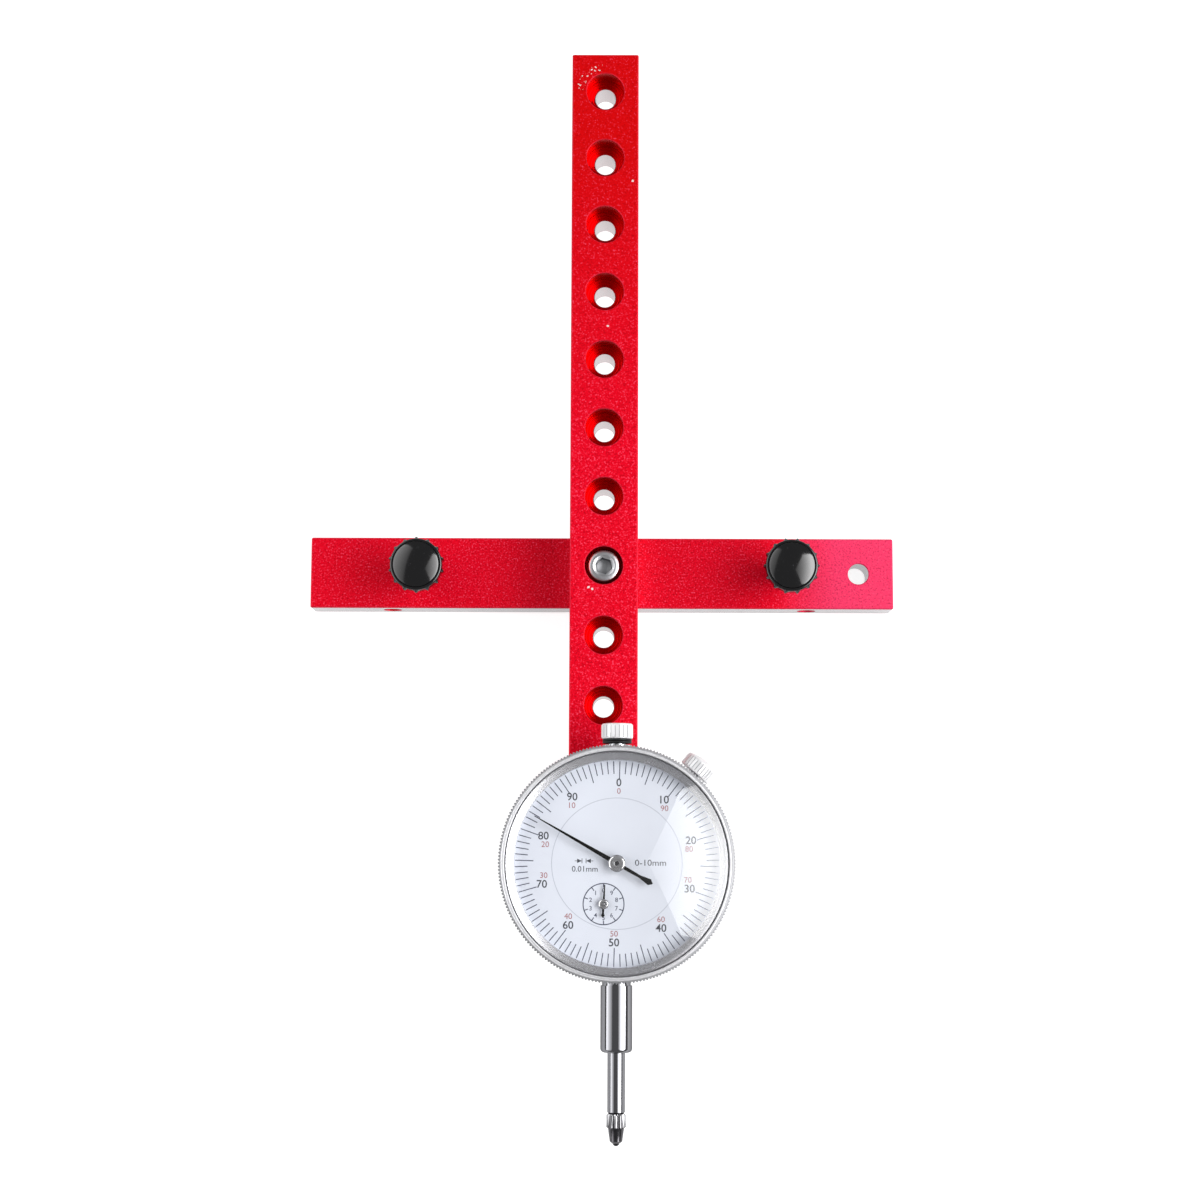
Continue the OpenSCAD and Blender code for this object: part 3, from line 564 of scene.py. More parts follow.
def named(name: str) -> Piece:
    """Names the object that was added last, and its data.

    Args:
        name: its name.

    Returns:
        The object.
    """
    piece = bpy.context.object
    piece.name = piece.data.name = name
    return piece


def edit_all(piece: Piece) -> None:
    """Enters edit mode with all of a piece's vertices selected.

    Args:
        piece: the piece.
    """
    focus(piece)
    bpy.ops.object.mode_set(mode="EDIT")
    bpy.ops.mesh.select_mode(type="VERT")
    bpy.ops.mesh.select_all(action="SELECT")


def tidy_edit() -> None:
    """Merges doubles, turns faces outwards and leaves edit mode."""
    bpy.ops.mesh.select_all(action="SELECT")
    bpy.ops.mesh.remove_doubles(threshold=1e-7)
    bpy.ops.mesh.normals_make_consistent(inside=False)
    bpy.ops.object.mode_set(mode="OBJECT")


def arc(centre: Point, radius: float, start: float, end: float, steps: int) -> list[Point]:
    """Gives points along a circular arc of a profile.

    Args:
        centre: the arc's centre as radius and height.
        radius: the arc's radius.
        start: first angle in degrees, counted from the outward direction towards the top.
        end: last angle in degrees.
        steps: number of steps between the two ends.

    Returns:
        The arc's points, both ends included.
    """
    turns = [math.radians(start + (end - start) * i / steps) for i in range(steps + 1)]
    return [(centre[0] + radius * math.cos(t), centre[1] + radius * math.sin(t)) for t in turns]


def drawn(name: str, path: Sequence[Point]) -> Piece:
    """Draws a line of edges vertex by vertex, and stays in edit mode.

    Args:
        name: the piece's name.
        path: points of radius and height.

    Returns:
        The new piece.
    """
    clear_selection()
    bpy.ops.mesh.primitive_plane_add(size=MM)
    piece = named(name)
    edit_all(piece)
    bpy.ops.mesh.merge(type="CENTER")
    bpy.ops.transform.translate(value=(path[0][0] * MM, 0, path[0][1] * MM))
    for here, there in zip(path, path[1:]):
        step = ((there[0] - here[0]) * MM, 0, (there[1] - here[1]) * MM)
        bpy.ops.mesh.extrude_vertices_move(TRANSFORM_OT_translate={"value": step})
    return piece


def spun(name: str, profile: Sequence[Point], ring: int | Ridges, closed: bool = False) -> Piece:
    """Spins a profile about the Z axis, and raises ridges on it where there are any.

    Args:
        name: the piece's name.
        profile: points of radius and height.
        ring: number of steps round the axis, or the ridges.
        closed: True where the last point joins the first, as on a ring.

    Returns:
        The new piece, with its faces outwards.
    """
    piece = drawn(name, [*profile, profile[0]] if closed else profile)
    steps = ring.steps if isinstance(ring, Ridges) else ring
    bpy.ops.mesh.select_all(action="SELECT")
    bpy.ops.mesh.spin(steps=steps, angle=TURN, center=(0, 0, 0), axis=(0, 0, 1))
    tidy_edit()
    if isinstance(ring, Ridges):
        ring.raise_on(piece)
    return piece


def move(
    piece: Piece, test: Callable[[Vector], bool], step: Place = (0, 0, 0), grow: Place = (1, 1, 1)
) -> None:
    """Stretches about the origin, then shifts, the vertices that pass a test of their place.

    Args:
        piece: the piece to edit.
        test: takes a vertex's place in millimetres.
        step: the shift in millimetres.
        grow: the stretch along each axis.
    """
    edit_all(piece)
    bpy.ops.mesh.select_all(action="DESELECT")
    bpy.ops.object.mode_set(mode="OBJECT")
    for vertex in piece.data.vertices:
        vertex.select = test(vertex.co / MM)
    bpy.ops.object.mode_set(mode="EDIT")
    bpy.ops.transform.resize(value=grow, center_override=(0, 0, 0))
    bpy.ops.transform.translate(value=[part * MM for part in step])
    bpy.ops.object.mode_set(mode="OBJECT")


@dataclass(frozen=True)
class Ridges:
    """Ridges that stand out of a spun piece, all the way round."""

    count: int
    columns: int  # Columns of the spun mesh for each ridge
    swell: tuple[float, ...]  # For each column's distance from the ridge's crest, how far it moves outwards
    low: float
    high: float
    root_r: float  # Radius of the rows between the two ends

    @property
    def steps(self) -> int:
        """Number of steps that the piece is spun with."""
        return self.count * self.columns

    def from_crest(self, place: Vector) -> int:
        """Counts the columns from a vertex to the nearest ridge's crest.

        Args:
            place: the vertex's place in millimetres.

        Returns:
            The number of columns, or -1 for a vertex that is not on the ridges.
        """
        column = round(math.atan2(place.y, place.x) / TURN * self.steps) % self.columns
        level = self.low - 1e-3 < place.z < self.high + 1e-3
        outer = place.xy.length > 0.7 * self.root_r
        return min(column, self.columns - column) if level and outer else -1

    def raise_on(self, piece: Piece) -> None:
        """Moves the ridges' columns outwards.

        Args:
            piece: the spun piece.
        """
        for distance, swell in enumerate(self.swell):
            growth = 1 + swell / self.root_r
            move(piece, lambda place: self.from_crest(place) == distance, grow=(growth, growth, 1))


def facets(count: int, columns: int, flat_r: float, groove: float) -> tuple[float, ...]:
    """Works out the swell that makes flat facets round a piece, with a narrow groove between each two.

    Args:
        count: number of facets.
        columns: columns of the spun mesh for each facet.
        flat_r: distance of the facets from the axis.
        groove: depth of the grooves.

    Returns:
        How far each column moves outwards, counted from the groove.
    """
    step = TURN / (count * columns)
    swell = [flat_r / math.cos((columns / 2 - d) * step) - flat_r for d in range(1, columns // 2 + 1)]
    return (-groove, *swell)


def settle(piece: Piece, at: Place = (0, 0, 0), turn: Place = (0, 0, 0)) -> Piece:
    """Puts a piece in its place and applies that to its mesh.

    Args:
        piece: the piece, modelled about the origin.
        at: where its origin goes, in millimetres.
        turn: its turn about X, Y and Z in degrees, in that order.

    Returns:
        The piece, with its object at the origin.
    """
    focus(piece)
    piece.location = Vector(at) * MM
    piece.rotation_euler = [math.radians(t) for t in turn]
    bpy.ops.object.transform_apply(location=True, rotation=True, scale=True)
    return piece


def smooth(piece: Piece, degrees: float = 32) -> Piece:
    """Shades a piece smooth, except at edges sharper than an angle.

    Args:
        piece: the piece.
        degrees: the angle.

    Returns:
        The same piece.
    """
    focus(piece)
    bpy.ops.object.shade_smooth_by_angle(angle=math.radians(degrees))
    return piece


def band(name: str, radius: float, half: float, low: float, thick: float, steps: int) -> Piece:
    """Makes a flat ring from its middle radius, half its width, its underside and its thickness."""
    inner, outer, top = radius - half, radius + half, low + thick
    return spun(name, [(inner, low), (outer, low), (outer, top), (inner, top)], steps, closed=True)


def joined(name: str, pieces: Sequence[Piece]) -> Piece:
    """Joins pieces into one object of that name.

    Args:
        name: name of the joined piece.
        pieces: the pieces, whose meshes are used up.

    Returns:
        The joined piece.
    """
    focus(pieces[0])
    for piece in pieces[1:]:
        piece.select_set(True)
    bpy.ops.object.join()
    return named(name)


def cut_away(piece: Piece, tool: Piece) -> None:
    """Cuts a tool's shape out of a piece and deletes the tool.

    Args:
        piece: the piece.
        tool: the tool in its place.
    """
    cut = piece.modifiers.new("cut", "BOOLEAN")
    cut.operation = "DIFFERENCE"
    cut.solver = "EXACT"
    cut.object = tool
    focus(piece)
    bpy.ops.object.modifier_apply(modifier=cut.name)
    bpy.data.objects.remove(tool)


def dress(piece: Piece, finish: Finish) -> None:
    """Gives a piece one finish all over."""
    piece.data.materials.clear()
    piece.data.materials.append(finish.material())


def mount(piece: Piece, finish: Finish, body: str, slot: str, *nodes: str) -> None:
    """Finishes a new piece: its material, the body that it rides on, and the nodes that it stands for.

    Args:
        piece: the new piece, in its place.
        finish: its finish.
        body: name of the body that carries it.
        slot: name of the record's material slot; not used.
        nodes: names of the solids that it stands for.
    """
    dress(piece, finish)
    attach(piece, body)
    if nodes:
        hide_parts(*nodes)
    LOG.info("%s: %d faces on %s", piece.name, len(piece.data.polygons), body)


def lettering(words: str, height: float, at: Place, width: float = 0.0, weight: float = 0.01) -> Piece:
    """Sets printed words flat on the dial.

    Args:
        words: what is printed.
        height: height of the figures.
        at: middle of the words, on the printed surface.
        width: width of the words, or 0 for the font's own.
        weight: how far the strokes are thickened, as a share of the font's size.

    Returns:
        The words as a mesh in their place.
    """
    clear_selection()
    bpy.ops.object.text_add()
    piece = named("words")
    piece.data.body = words
    piece.data.extrude = 0.5
    piece.data.offset = weight
    piece.data.resolution_u = 4
    bpy.ops.object.convert(target="MESH")
    bpy.ops.object.origin_set(type="ORIGIN_GEOMETRY", center="BOUNDS")
    tall = height * MM / piece.dimensions.y
    wide = width * MM / piece.dimensions.x if width else tall
    piece.scale = (wide, tall, INK * MM)
    return settle(piece, (at[0], at[1], at[2] + INK / 2))


def strip(name: str, low: Place, high: Place) -> Piece:
    """Makes a block between two corners.

    Args:
        name: the piece's name.
        low: lowest corner.
        high: highest corner.

    Returns:
        The block.
    """
    clear_selection()
    bpy.ops.mesh.primitive_cube_add(size=1, location=(Vector(high) + Vector(low)) / 2 * MM)
    piece = named(name)
    piece.scale = (Vector(high) - Vector(low)) * MM
    bpy.ops.object.transform_apply(location=True, rotation=True, scale=True)
    return piece


def ring_of(piece: Piece, count: int) -> Piece:
    """Copies a piece's mesh round the Z axis, inside the same piece.

    Args:
        piece: the piece, modelled at its first place.
        count: number of copies, the first included.

    Returns:
        The same piece.
    """
    edit_all(piece)
    bpy.ops.mesh.spin(steps=count, angle=TURN, dupli=True, center=(0, 0, 0), axis=(0, 0, 1))
    tidy_edit()
    return piece


def threaded(name: str, radius: float, pitch: float, low: float, high: float) -> Piece:
    """Winds a screw thread along Z, with a bevelled core end at its lower end.

    Args:
        name: the piece's name.
        radius: radius over the thread.
        pitch: distance from turn to turn.
        low: height of the lower end.
        high: height of the upper end.

    Returns:
        The threaded piece about the Z axis.
    """
    root = radius - 0.6 * pitch
    tooth = ((root, 0.1), (radius, 0.52), (radius, 0.64), (root, 1.06), (root, 1.1))
    thread = drawn("thread", [(r, low + share * pitch) for r, share in tooth])
    bpy.ops.object.mode_set(mode="OBJECT")
    wind = thread.modifiers.new("wind", "SCREW")
    wind.axis = "Z"
    wind.angle = TURN
    wind.screw_offset = pitch * MM
    wind.iterations = int((high - low - 1.2 * pitch) / pitch)
    wind.steps = wind.render_steps = 40
    wind.use_merge_vertices = True
    wind.merge_threshold = 1e-7
    focus(thread)
    bpy.ops.object.modifier_apply(modifier=wind.name)
    core_r = root + 0.02
    core = spun("core", [(0, low), (root - 0.3, low), (core_r, low + 0.35), (core_r, high), (0, high)], 40)
    piece = joined(name, [thread, core])
    edit_all(piece)
    tidy_edit()
    return smooth(piece, 30)


# Sub-assemblies


@dataclass
class Datum:
    """What the sub-assemblies share."""

    nodes: Mapping[str, Piece]  # The solids by name
    dial_top: float = 44.4  # Height of the dial's printed face
    counter_at: Point = (-3.25, -9.932)  # The counter dial's centre from the dial's centre

    def on_dial(self, z: float = 0.0, off: Point = (0.0, 0.0)) -> Place:
        """Gives a place at some height, at the dial's centre or off it."""
        return DIAL_AT[0] + off[0], DIAL_AT[1] + off[1], z

    def dress(self, finish: Finish, *names: str) -> None:
        """Gives one finish to solids that are kept.

        Args:
            finish: the finish.
            names: the solids' names.
        """
        for name in names:
            dress(self.nodes[name], finish)
            LOG.info("%s: %s", name, finish.name)


@dataclass
class Assembly:
    """A sub-assembly that finds its place by the shared datum."""

    datum: Datum


@dataclass
class SocketScrew:
    """A cap screw with a knurled head and a hexagon socket."""

    name: str
    node: str
    body: str
    at: Place  # The middle of the head's underside
    turn: Place  # Turn of the screw's axis from Z, in degrees
    head_r: float
    head_h: float
    shank: tuple[Point, ...]  # Radii and lengths of the shank below the head, from the head down
    socket_af: float = 4.0  # Width of the socket across its flats
    socket_deep: float = 2.6

    def build(self) -> None:
        """Models the screw and mounts it."""
        top, core = self.head_h, self.head_r - 0.1
        land = self.socket_af / 2 + 0.9
        crown = (core - 0.2 - land) / math.cos(math.radians(60))
        shank: list[Point] = []
        depth = 0.0
        for radius, length in self.shank:
            shank += [(radius, depth), (radius, depth - length)]
            depth -= length
        profile = [
            (0.0, depth), *reversed(shank), (core - 0.25, 0.0), (core, 0.25), (core, 0.5), (core, top - 0.75),
            (core, top - 0.6), *arc((land, top - crown), crown, 60, 90, 8), (0.0, top),
        ]
        screw = spun(self.name, profile, Ridges(44, 2, (0.1,), 0.5, top - 0.75, core))
        corner = self.socket_af / math.sqrt(3)
        clear_selection()
        bpy.ops.mesh.primitive_cylinder_add(vertices=6, radius=corner * MM, depth=6 * MM)
        socket = named("socket")
        rim = corner + 0.54
        lead = spun("lead", [(0, -0.3), (corner - 0.1, -0.3), (rim, 0.0), (rim, 0.2), (0, 0.2)], 48)
        drilled = spun("drilled", [(0, -0.9), (0.8 * corner, 0.02), (0, 0.02)], 48)
        bottom = top - self.socket_deep
        for tool, height in ((socket, bottom + 3), (lead, top), (drilled, bottom)):
            cut_away(screw, settle(tool, (0, 0, height)))
        mount(smooth(settle(screw, self.at, self.turn), 28), ZINC, self.body, "zinc_steel", self.node)


@dataclass
class ThumbScrew:
    """A thumb screw: a threaded stud in a moulded knob with a domed, ridged head."""

    side: str  # Name of the side that the screw is on
    x: float  # Its place along the mitre bar
    phase: float  # Turn of its ridges in degrees
    shoulder: float = 26.6  # Height of the knob's shoulder
    rim_r: float = 6.8  # Radius of the rim between the ridges
    dome_r: float = 5.97
    dome_h: float = 1.3
    collar_r: float = 4.4
    stud_r: float = 2.95  # Radius over the thread
    pitch: float = 1.0
    stud_low: float = 0.6
    stud_high: float = 21.6  # Height of the stud's upper end, inside the knob

    def knob(self) -> None:
        """Models the knob."""
        top, rim, dome = self.shoulder, self.rim_r, self.dome_r
        low, collar = top - 4, top - 11
        ball = (dome**2 + (self.dome_h - 0.1) ** 2) / (2 * (self.dome_h - 0.1))
        middle, fillet = top + self.dome_h - ball, 0.2
        fillet_z = middle + math.sqrt((ball - fillet) ** 2 - (dome - fillet) ** 2)
        edge = math.degrees(math.acos((dome - fillet) / (ball - fillet)))
        profile = [
            (0.0, collar + 6.25), (3.0, collar + 6.25), (3.0, collar),
            *arc((self.collar_r - 0.4, collar + 0.4), 0.4, -90, 0, 4),
            (self.collar_r, collar + 2.6), (self.collar_r + 0.12, collar + 3.2),
            *arc((rim - 0.5, low + 0.5), 0.5, -40, 0, 3), (rim, low + 0.75), (rim, top - 0.85),
            *arc((rim - 0.45, top - 0.45), 0.45, 0, 90, 5),
            (dome + 0.16, top), (dome + 0.06, top - 0.14), (dome, fillet_z),
            *arc((dome - fillet, fillet_z), fillet, 0, edge, 5), *arc((0, middle), ball, edge, 90, 14)[1:],
        ]
        ridges = Ridges(14, 12, (0.55, 0.36, 0.12), low + 0.75, top - 0.85, rim)
        knob = spun(f"{self.side}_knob_moulded", profile, ridges)
        smooth(settle(knob, (self.x, 0, 0), (0, 0, self.phase)), 40)
        mount(knob, KNOB, f"{self.side}_grip", "knob_plastic", f"{self.side}_knob")

    def build(self) -> None:
        """Models the knob and the stud."""
        self.knob()
        stud = threaded(f"{self.side}_stud_threaded", self.stud_r, self.pitch, self.stud_low, self.stud_high)
        settle(stud, (self.x, 0, 0))
        mount(stud, ZINC, f"{self.side}_thread", "zinc_steel", f"{self.side}_stud")


@dataclass
class Bars(Assembly):
    """The cross of two bars, the screw that joins them, and the screw that holds the indicator's lug."""

    screw_floor: float = 19.55  # Height of the counterbore's floor under the crossing screw
    lug_z: float = 17.5  # Height of the lug's axis
    lug_face: float = 6.86  # Place along X of the lug screw's head

    def build(self) -> None:
        """Dresses the bars and models the two cap screws."""
        self.datum.dress(BAR_RED, "mitre_bar")
        self.datum.dress(DRILLED_RED, "long_bar")
        crossing, lug = (0, 0, self.screw_floor), (self.lug_face, DIAL_AT[1], self.lug_z)
        SocketScrew(
            "crossing_screw", "arm_screw", "base", crossing, (0, 0, 12), 4.25, 4.95, ((2.48, 16.8),)
        ).build()
        SocketScrew(
            "lug_shoulder_screw", "lug_screw", "arm", lug, (0, 90, 0), 5.0, 4.0, ((3.2, 6.5), (2.98, 8.7))
        ).build()


@dataclass
class Bezel(Assembly):
    """The turning bezel with its liner, lens and printed scale."""

    tip_r: float = 29.5  # Radius over the serration
    neck_r: float = 28.95  # Radius of the plain neck above the serration
    seat_r: float = 27.75  # Radius of the recess that holds the lens
    bore_r: float = 26.58  # Radius of the bore that turns on the case
    low: float = 40.4
    high: float = 48.6
    seat_z: float = 44.0  # Height of the recess's floor
    lens_z: float = 47.7  # Height of the lens's rim
    lens_thick: float = 1.1
    lens_ball_r: float = 75.0
    scale_r: float = 25.15  # Outer radius of the scale's lines
    scale_turn: float = 1.6  # Turn of the scale at rest, clockwise in degrees
    line_half: float = 0.115
    figure_r: float = 19.1  # Radius of the circle through the black figures
    figure_out: float = 0.5  # How much further out they stand at the top and the bottom
    figure_slip: Point = (-0.1, 0.34)  # How far the figures were printed off the dial's centre

    def add(self, piece: Piece, finish: Finish, slot: str, node: str, sharp: float = 32) -> None:
        """Puts a turned piece on the dial's axis, smooths it and mounts it on the bezel."""
        smooth(settle(piece, self.datum.on_dial()), sharp)
        mount(piece, finish, "bezel", slot, node)

    def ring(self) -> None:
        """Models the serrated ring."""
        low, high, neck, root = self.low, self.high, self.neck_r, self.tip_r - 0.5
        profile = [
            (self.bore_r, self.seat_z), (self.bore_r, low + 0.1), (self.bore_r + 0.1, low),
            (neck - 0.35, low), (neck - 0.05, low + 0.25), (root, low + 0.3), (root, low + 0.5),
            (root, low + 6.15), (neck, low + 6.22), *arc((neck - 0.35, high - 0.35), 0.35, 0, 90, 5),
            (neck - 0.5, high - 0.1), (neck - 0.7, high - 0.1),
            *arc((self.seat_r + 0.25, high - 0.25), 0.25, 75, 180, 5), (self.seat_r, self.seat_z),
        ]
        teeth = Ridges(216, 4, (0.5, 0.3), low + 0.5, low + 6.15, root)
        ring = spun("bezel_ring_serrated", profile, teeth, closed=True)
        self.add(ring, SATIN_CHROME, "bezel_metal", "bezel_ring", 24)

    def liner(self) -> None:
        """Models the conical ring between the dial and the lens."""
        top, low, outer = self.lens_z - 0.05, self.datum.dial_top + 0.01, self.seat_r - 0.02
        profile = [
            (25.35, low), (outer, low), (outer, top), (27.3, top), (27.15, top - 0.03), (25.6, top - 0.68),
            *arc((25.5, top - 0.85), 0.15, 90, 180, 4),
        ]
        self.add(spun("liner_cone", profile, 144, closed=True), LINER, "liner_grey", "liner_ring")

    def lens(self) -> None:
        """Models the domed lens and the thin rubber ring round it."""
        rim_r, low = self.seat_r - 0.4, self.lens_z
        outer, inner = self.lens_ball_r, self.lens_ball_r - self.lens_thick
        middle = low + self.lens_thick - math.sqrt(outer**2 - rim_r**2)
        rise = math.degrees(math.acos(rim_r / outer))
        fall = math.degrees(math.acos(math.sqrt(inner**2 - (low - middle) ** 2) / inner))
        dome, hollow = arc((0, middle), outer, 90, rise, 24), arc((0, middle), inner, fall, 90, 24)
        lens = spun("lens_domed", [*dome, (rim_r, low), *hollow], 144)
        lens.visible_shadow = False
        lens.visible_diffuse = False
        self.add(lens, CRYSTAL, "crystal_clear", "crystal")
        inner, outer, high = self.seat_r - 0.38, self.seat_r - 0.01, low + 0.25
        profile = [
            (inner, low), (outer, low), (outer, high - 0.1), (outer - 0.08, high), (inner + 0.08, high),
            (inner, high - 0.1),
        ]
        self.add(spun("lens_gasket", profile, 144, closed=True), GASKET, "black_rubber", "crystal_gasket")

    def scale(self) -> None:
        """Prints the scale's lines and its two rows of figures."""
        z, half, rim = self.datum.dial_top, self.line_half, self.scale_r
        rows = []
        for inner, outer, count in ((rim - 3.1, rim, 100), (rim - 4.57, rim - 3.09, 20)):
            rows.append(ring_of(strip("line", (inner, -half, z), (outer, half, z + INK)), count))
        lines = settle(joined("scale_lines", rows), self.datum.on_dial(), (0, 0, -self.scale_turn))
        mount(lines, INK_DARK, "bezel", "pointer_black")
        black, red = [], []
        for step in range(10):
            turn = math.radians(36 * step + self.scale_turn)
            reach = self.figure_r + self.figure_out * math.cos(turn) ** 2
            across, up = reach * math.sin(turn), reach * math.cos(turn)
            black.append(lettering(str(10 * step), 1.95, (across, up, z)))
            inward = -2.12 if up > 0 else 2.12
            lean = -0.45 * math.copysign(1, across) if 2 <= step % 5 <= 3 else 0.0
            back = str(100 - 10 * step if step else 0)
            red.append(lettering(back, 1.4, (across + lean, up + inward, z), weight=0.0))
        for name, row, ink in (("scale_figures", black, INK_BLACK), ("scale_figures_back", red, INK_RED)):
            figures = settle(joined(name, row), self.datum.on_dial(off=self.figure_slip))
            mount(figures, ink, "bezel", "pointer_black")

    def build(self) -> None:
        """Models the bezel's pieces and dresses the dial ring."""
        self.ring()
        self.liner()
        self.lens()
        self.scale()
        self.datum.dress(DIAL_WHITE, "dial_ring")


@dataclass
class DialCentre(Assembly):
    """The fixed middle of the dial with its small counter dial and printed words."""

    counter_r: float = 5.03
    figure_r: float = 3.36  # Radius of the circle through the counter dial's figures
    seam_r: float = 16.1  # Radius of the seam between the fixed middle and the turning scale, and of its painted shadow

    def add(self, piece: Piece, ink: Ink, off: Point = (0.0, 0.0)) -> None:
        """Puts a printed piece or the painted seam shadow on or off the dial's centre, and mounts it on the
        indicator.
        """
        mount(settle(piece, self.datum.on_dial(off=off)), ink, "indicator", "pointer_black")

    def counter(self) -> None:
        """Prints the counter dial."""
        z, r = self.datum.dial_top, self.counter_r
        circle = band("circle", r, 0.13, z, INK, 72)
        lines = ring_of(strip("line", (r - 1.0, -0.12, z), (r - 0.05, 0.12, z + INK)), 10)
        marks = [circle, settle(lines, turn=(0, 0, 90))]
        for step in range(10):
            turn = math.radians(36 * step)
            at = (-self.figure_r * math.sin(turn), self.figure_r * math.cos(turn), z)
            marks.append(lettering(str(step), 1.08, at))
        self.add(joined("counter_marks", marks), INK_DARK, self.datum.counter_at)

    def words(self) -> None:
        """Prints the range, the reading of one line and its sign of two arrows at two lines."""
        z = self.datum.dial_top
        middle, level, ink = -8.1, 0.6, z + INK
        words = [
            lettering("0-10mm", 1.5, (8.3, 0.2, z), 7.65, 0.0),
            lettering("0.01mm", 1.4, (-7.9, -1.35, z), 6.35, 0.0),
        ]
        for side in (-1, 1):
            bar = middle + side * 0.5
            words.append(strip("bar", (bar - 0.08, level - 0.6, z), (bar + 0.08, level + 0.6, ink)))
            near, far = sorted((middle + side * 1.6, middle + side * 2.3))
            words.append(strip("tail", (near, level - 0.07, z), (far, level + 0.07, ink)))
            clear_selection()
            bpy.ops.mesh.primitive_cylinder_add(vertices=3, radius=0.78 * MM, depth=INK * MM)
            head = named("head")
            head.scale = (0.8, 1, 1)
            words.append(settle(head, (middle + side * 1.3, level, z + INK / 2), (0, 0, side * 90)))
        self.add(joined("dial_words", words), INK_BLACK)

    def build(self) -> None:
        """Prints the dial's middle, paints the seam's shadow as a grey ring and dresses its plate."""
        self.counter()
        self.words()
        # Painted shadow: a thin grey ring along the seam.
        self.add(band("painted_seam_shadow", self.seam_r, 0.09, self.datum.dial_top, 0.012, 144), SEAM_SHADOW)
        self.datum.dress(DIAL_WHITE, "dial_centre")


@dataclass
class Hand:
    """A pointer folded along its middle, so that one side catches more light."""

    name: str
    node: str
    body: str
    # Half-widths along the pointer, as place and half-width, from the tail to the tip
    outline: tuple[Point, ...]
    hub_r: float  # Radius of the hub, or 0 for none
    thick: float
    spine: float  # How far the fold stands up

    def build(self, at: Place, turn: float) -> None:
        """Models the pointer and mounts it.

        Args:
            at: its axis, at its underside.
            turn: its direction clockwise from the top, in degrees.
        """
        rows, parked = len(self.outline), 1000.0
        clear_selection()
        bpy.ops.mesh.primitive_grid_add(x_subdivisions=2, y_subdivisions=rows - 1, size=2 * MM)
        hand = named(self.name)
        for row, (along, half) in enumerate(self.outline):
            level = -1 + 2 * row / (rows - 1)

            def in_row(place: Vector, level: float = level) -> bool:
                """Tells whether a vertex of the flat grid is in this row."""
                return abs(place.y - level) < 1e-3 and abs(place.z) < 1e-6

            move(hand, in_row, (0, along - level, parked), (half, 1, 1))
        move(hand, lambda place: True, (0, 0, -parked))
        move(hand, lambda place: abs(place.x) < 1e-6, (0, 0, self.spine))
        edit_all(hand)
        bpy.ops.mesh.extrude_region_move(TRANSFORM_OT_translate={"value": (0, 0, -self.thick * MM)})
        tidy_edit()
        if self.hub_r:
            hub = spun("hub", [(0, -self.thick), (self.hub_r, -self.thick), (self.hub_r, 0), (0, 0)], 48)
            hand = joined(self.name, [hand, hub])
        smooth(settle(hand, (at[0], at[1], at[2] + self.thick), (0, 0, -turn)), 20)
        mount(hand, HAND_BLACK, self.body, "pointer_black", self.node)


@dataclass
class Hands(Assembly):
    """The main pointer with its boss, and the counter pointer with its hub."""

    main_turn: float = 299.6  # The main pointer's direction, clockwise from the top
    main_z: float = 46.0  # Height of the main pointer's underside
    counter_turn: float = 3.5
    counter_z: float = 45.0

    def build(self) -> None:
        """Models both pointers and their metal middles."""
        at = self.datum.on_dial(self.main_z)
        outline = (
            (-10.05, 0.12), (-9.2, 0.82), (-6.5, 0.36), (-2.0, 0.45), (2.0, 0.55), (12.0, 0.33), (23.4, 0.1)
        )
        Hand("main_hand", "main_pointer", "centre", outline, 1.9, 0.2, 0.05).build(at, self.main_turn)
        profile = [
            (0.0, 0.25), (2.1, 0.25), (2.1, 0.42), (2.06, 0.47), (1.72, 0.72), (1.66, 0.74), (0.34, 0.68),
            (0.3, 0.66), (0.28, 0.4), (0.12, 0.4), (0.1, 0.62), (0.0, 0.64),
        ]
        boss = smooth(settle(spun("hand_boss", profile, 64), at))
        mount(boss, CHROME, "centre", "chrome_trim", "pointer_boss")
        at = self.datum.on_dial(self.counter_z, self.datum.counter_at)
        outline = ((-3.3, 0.08), (-2.8, 0.48), (-2.3, 0.25), (0.0, 0.3), (4.75, 0.13))
        hand = Hand("counter_hand", "counter_pointer", "rack_pinion", outline, 0.0, 0.12, 0.06)
        hand.build(at, self.counter_turn)
        profile = [
            (0.0, 0.19), (1.25, 0.19), (1.25, 0.42), (1.21, 0.46), (0.98, 0.64), (0.93, 0.66), (0.5, 0.6),
            (0.46, 0.56), (0.42, 0.68), (0.36, 0.7), (0.0, 0.7),
        ]
        hub = smooth(settle(spun("counter_hub", profile, 48), at))
        mount(hub, CHROME, "rack_pinion", "chrome_trim")


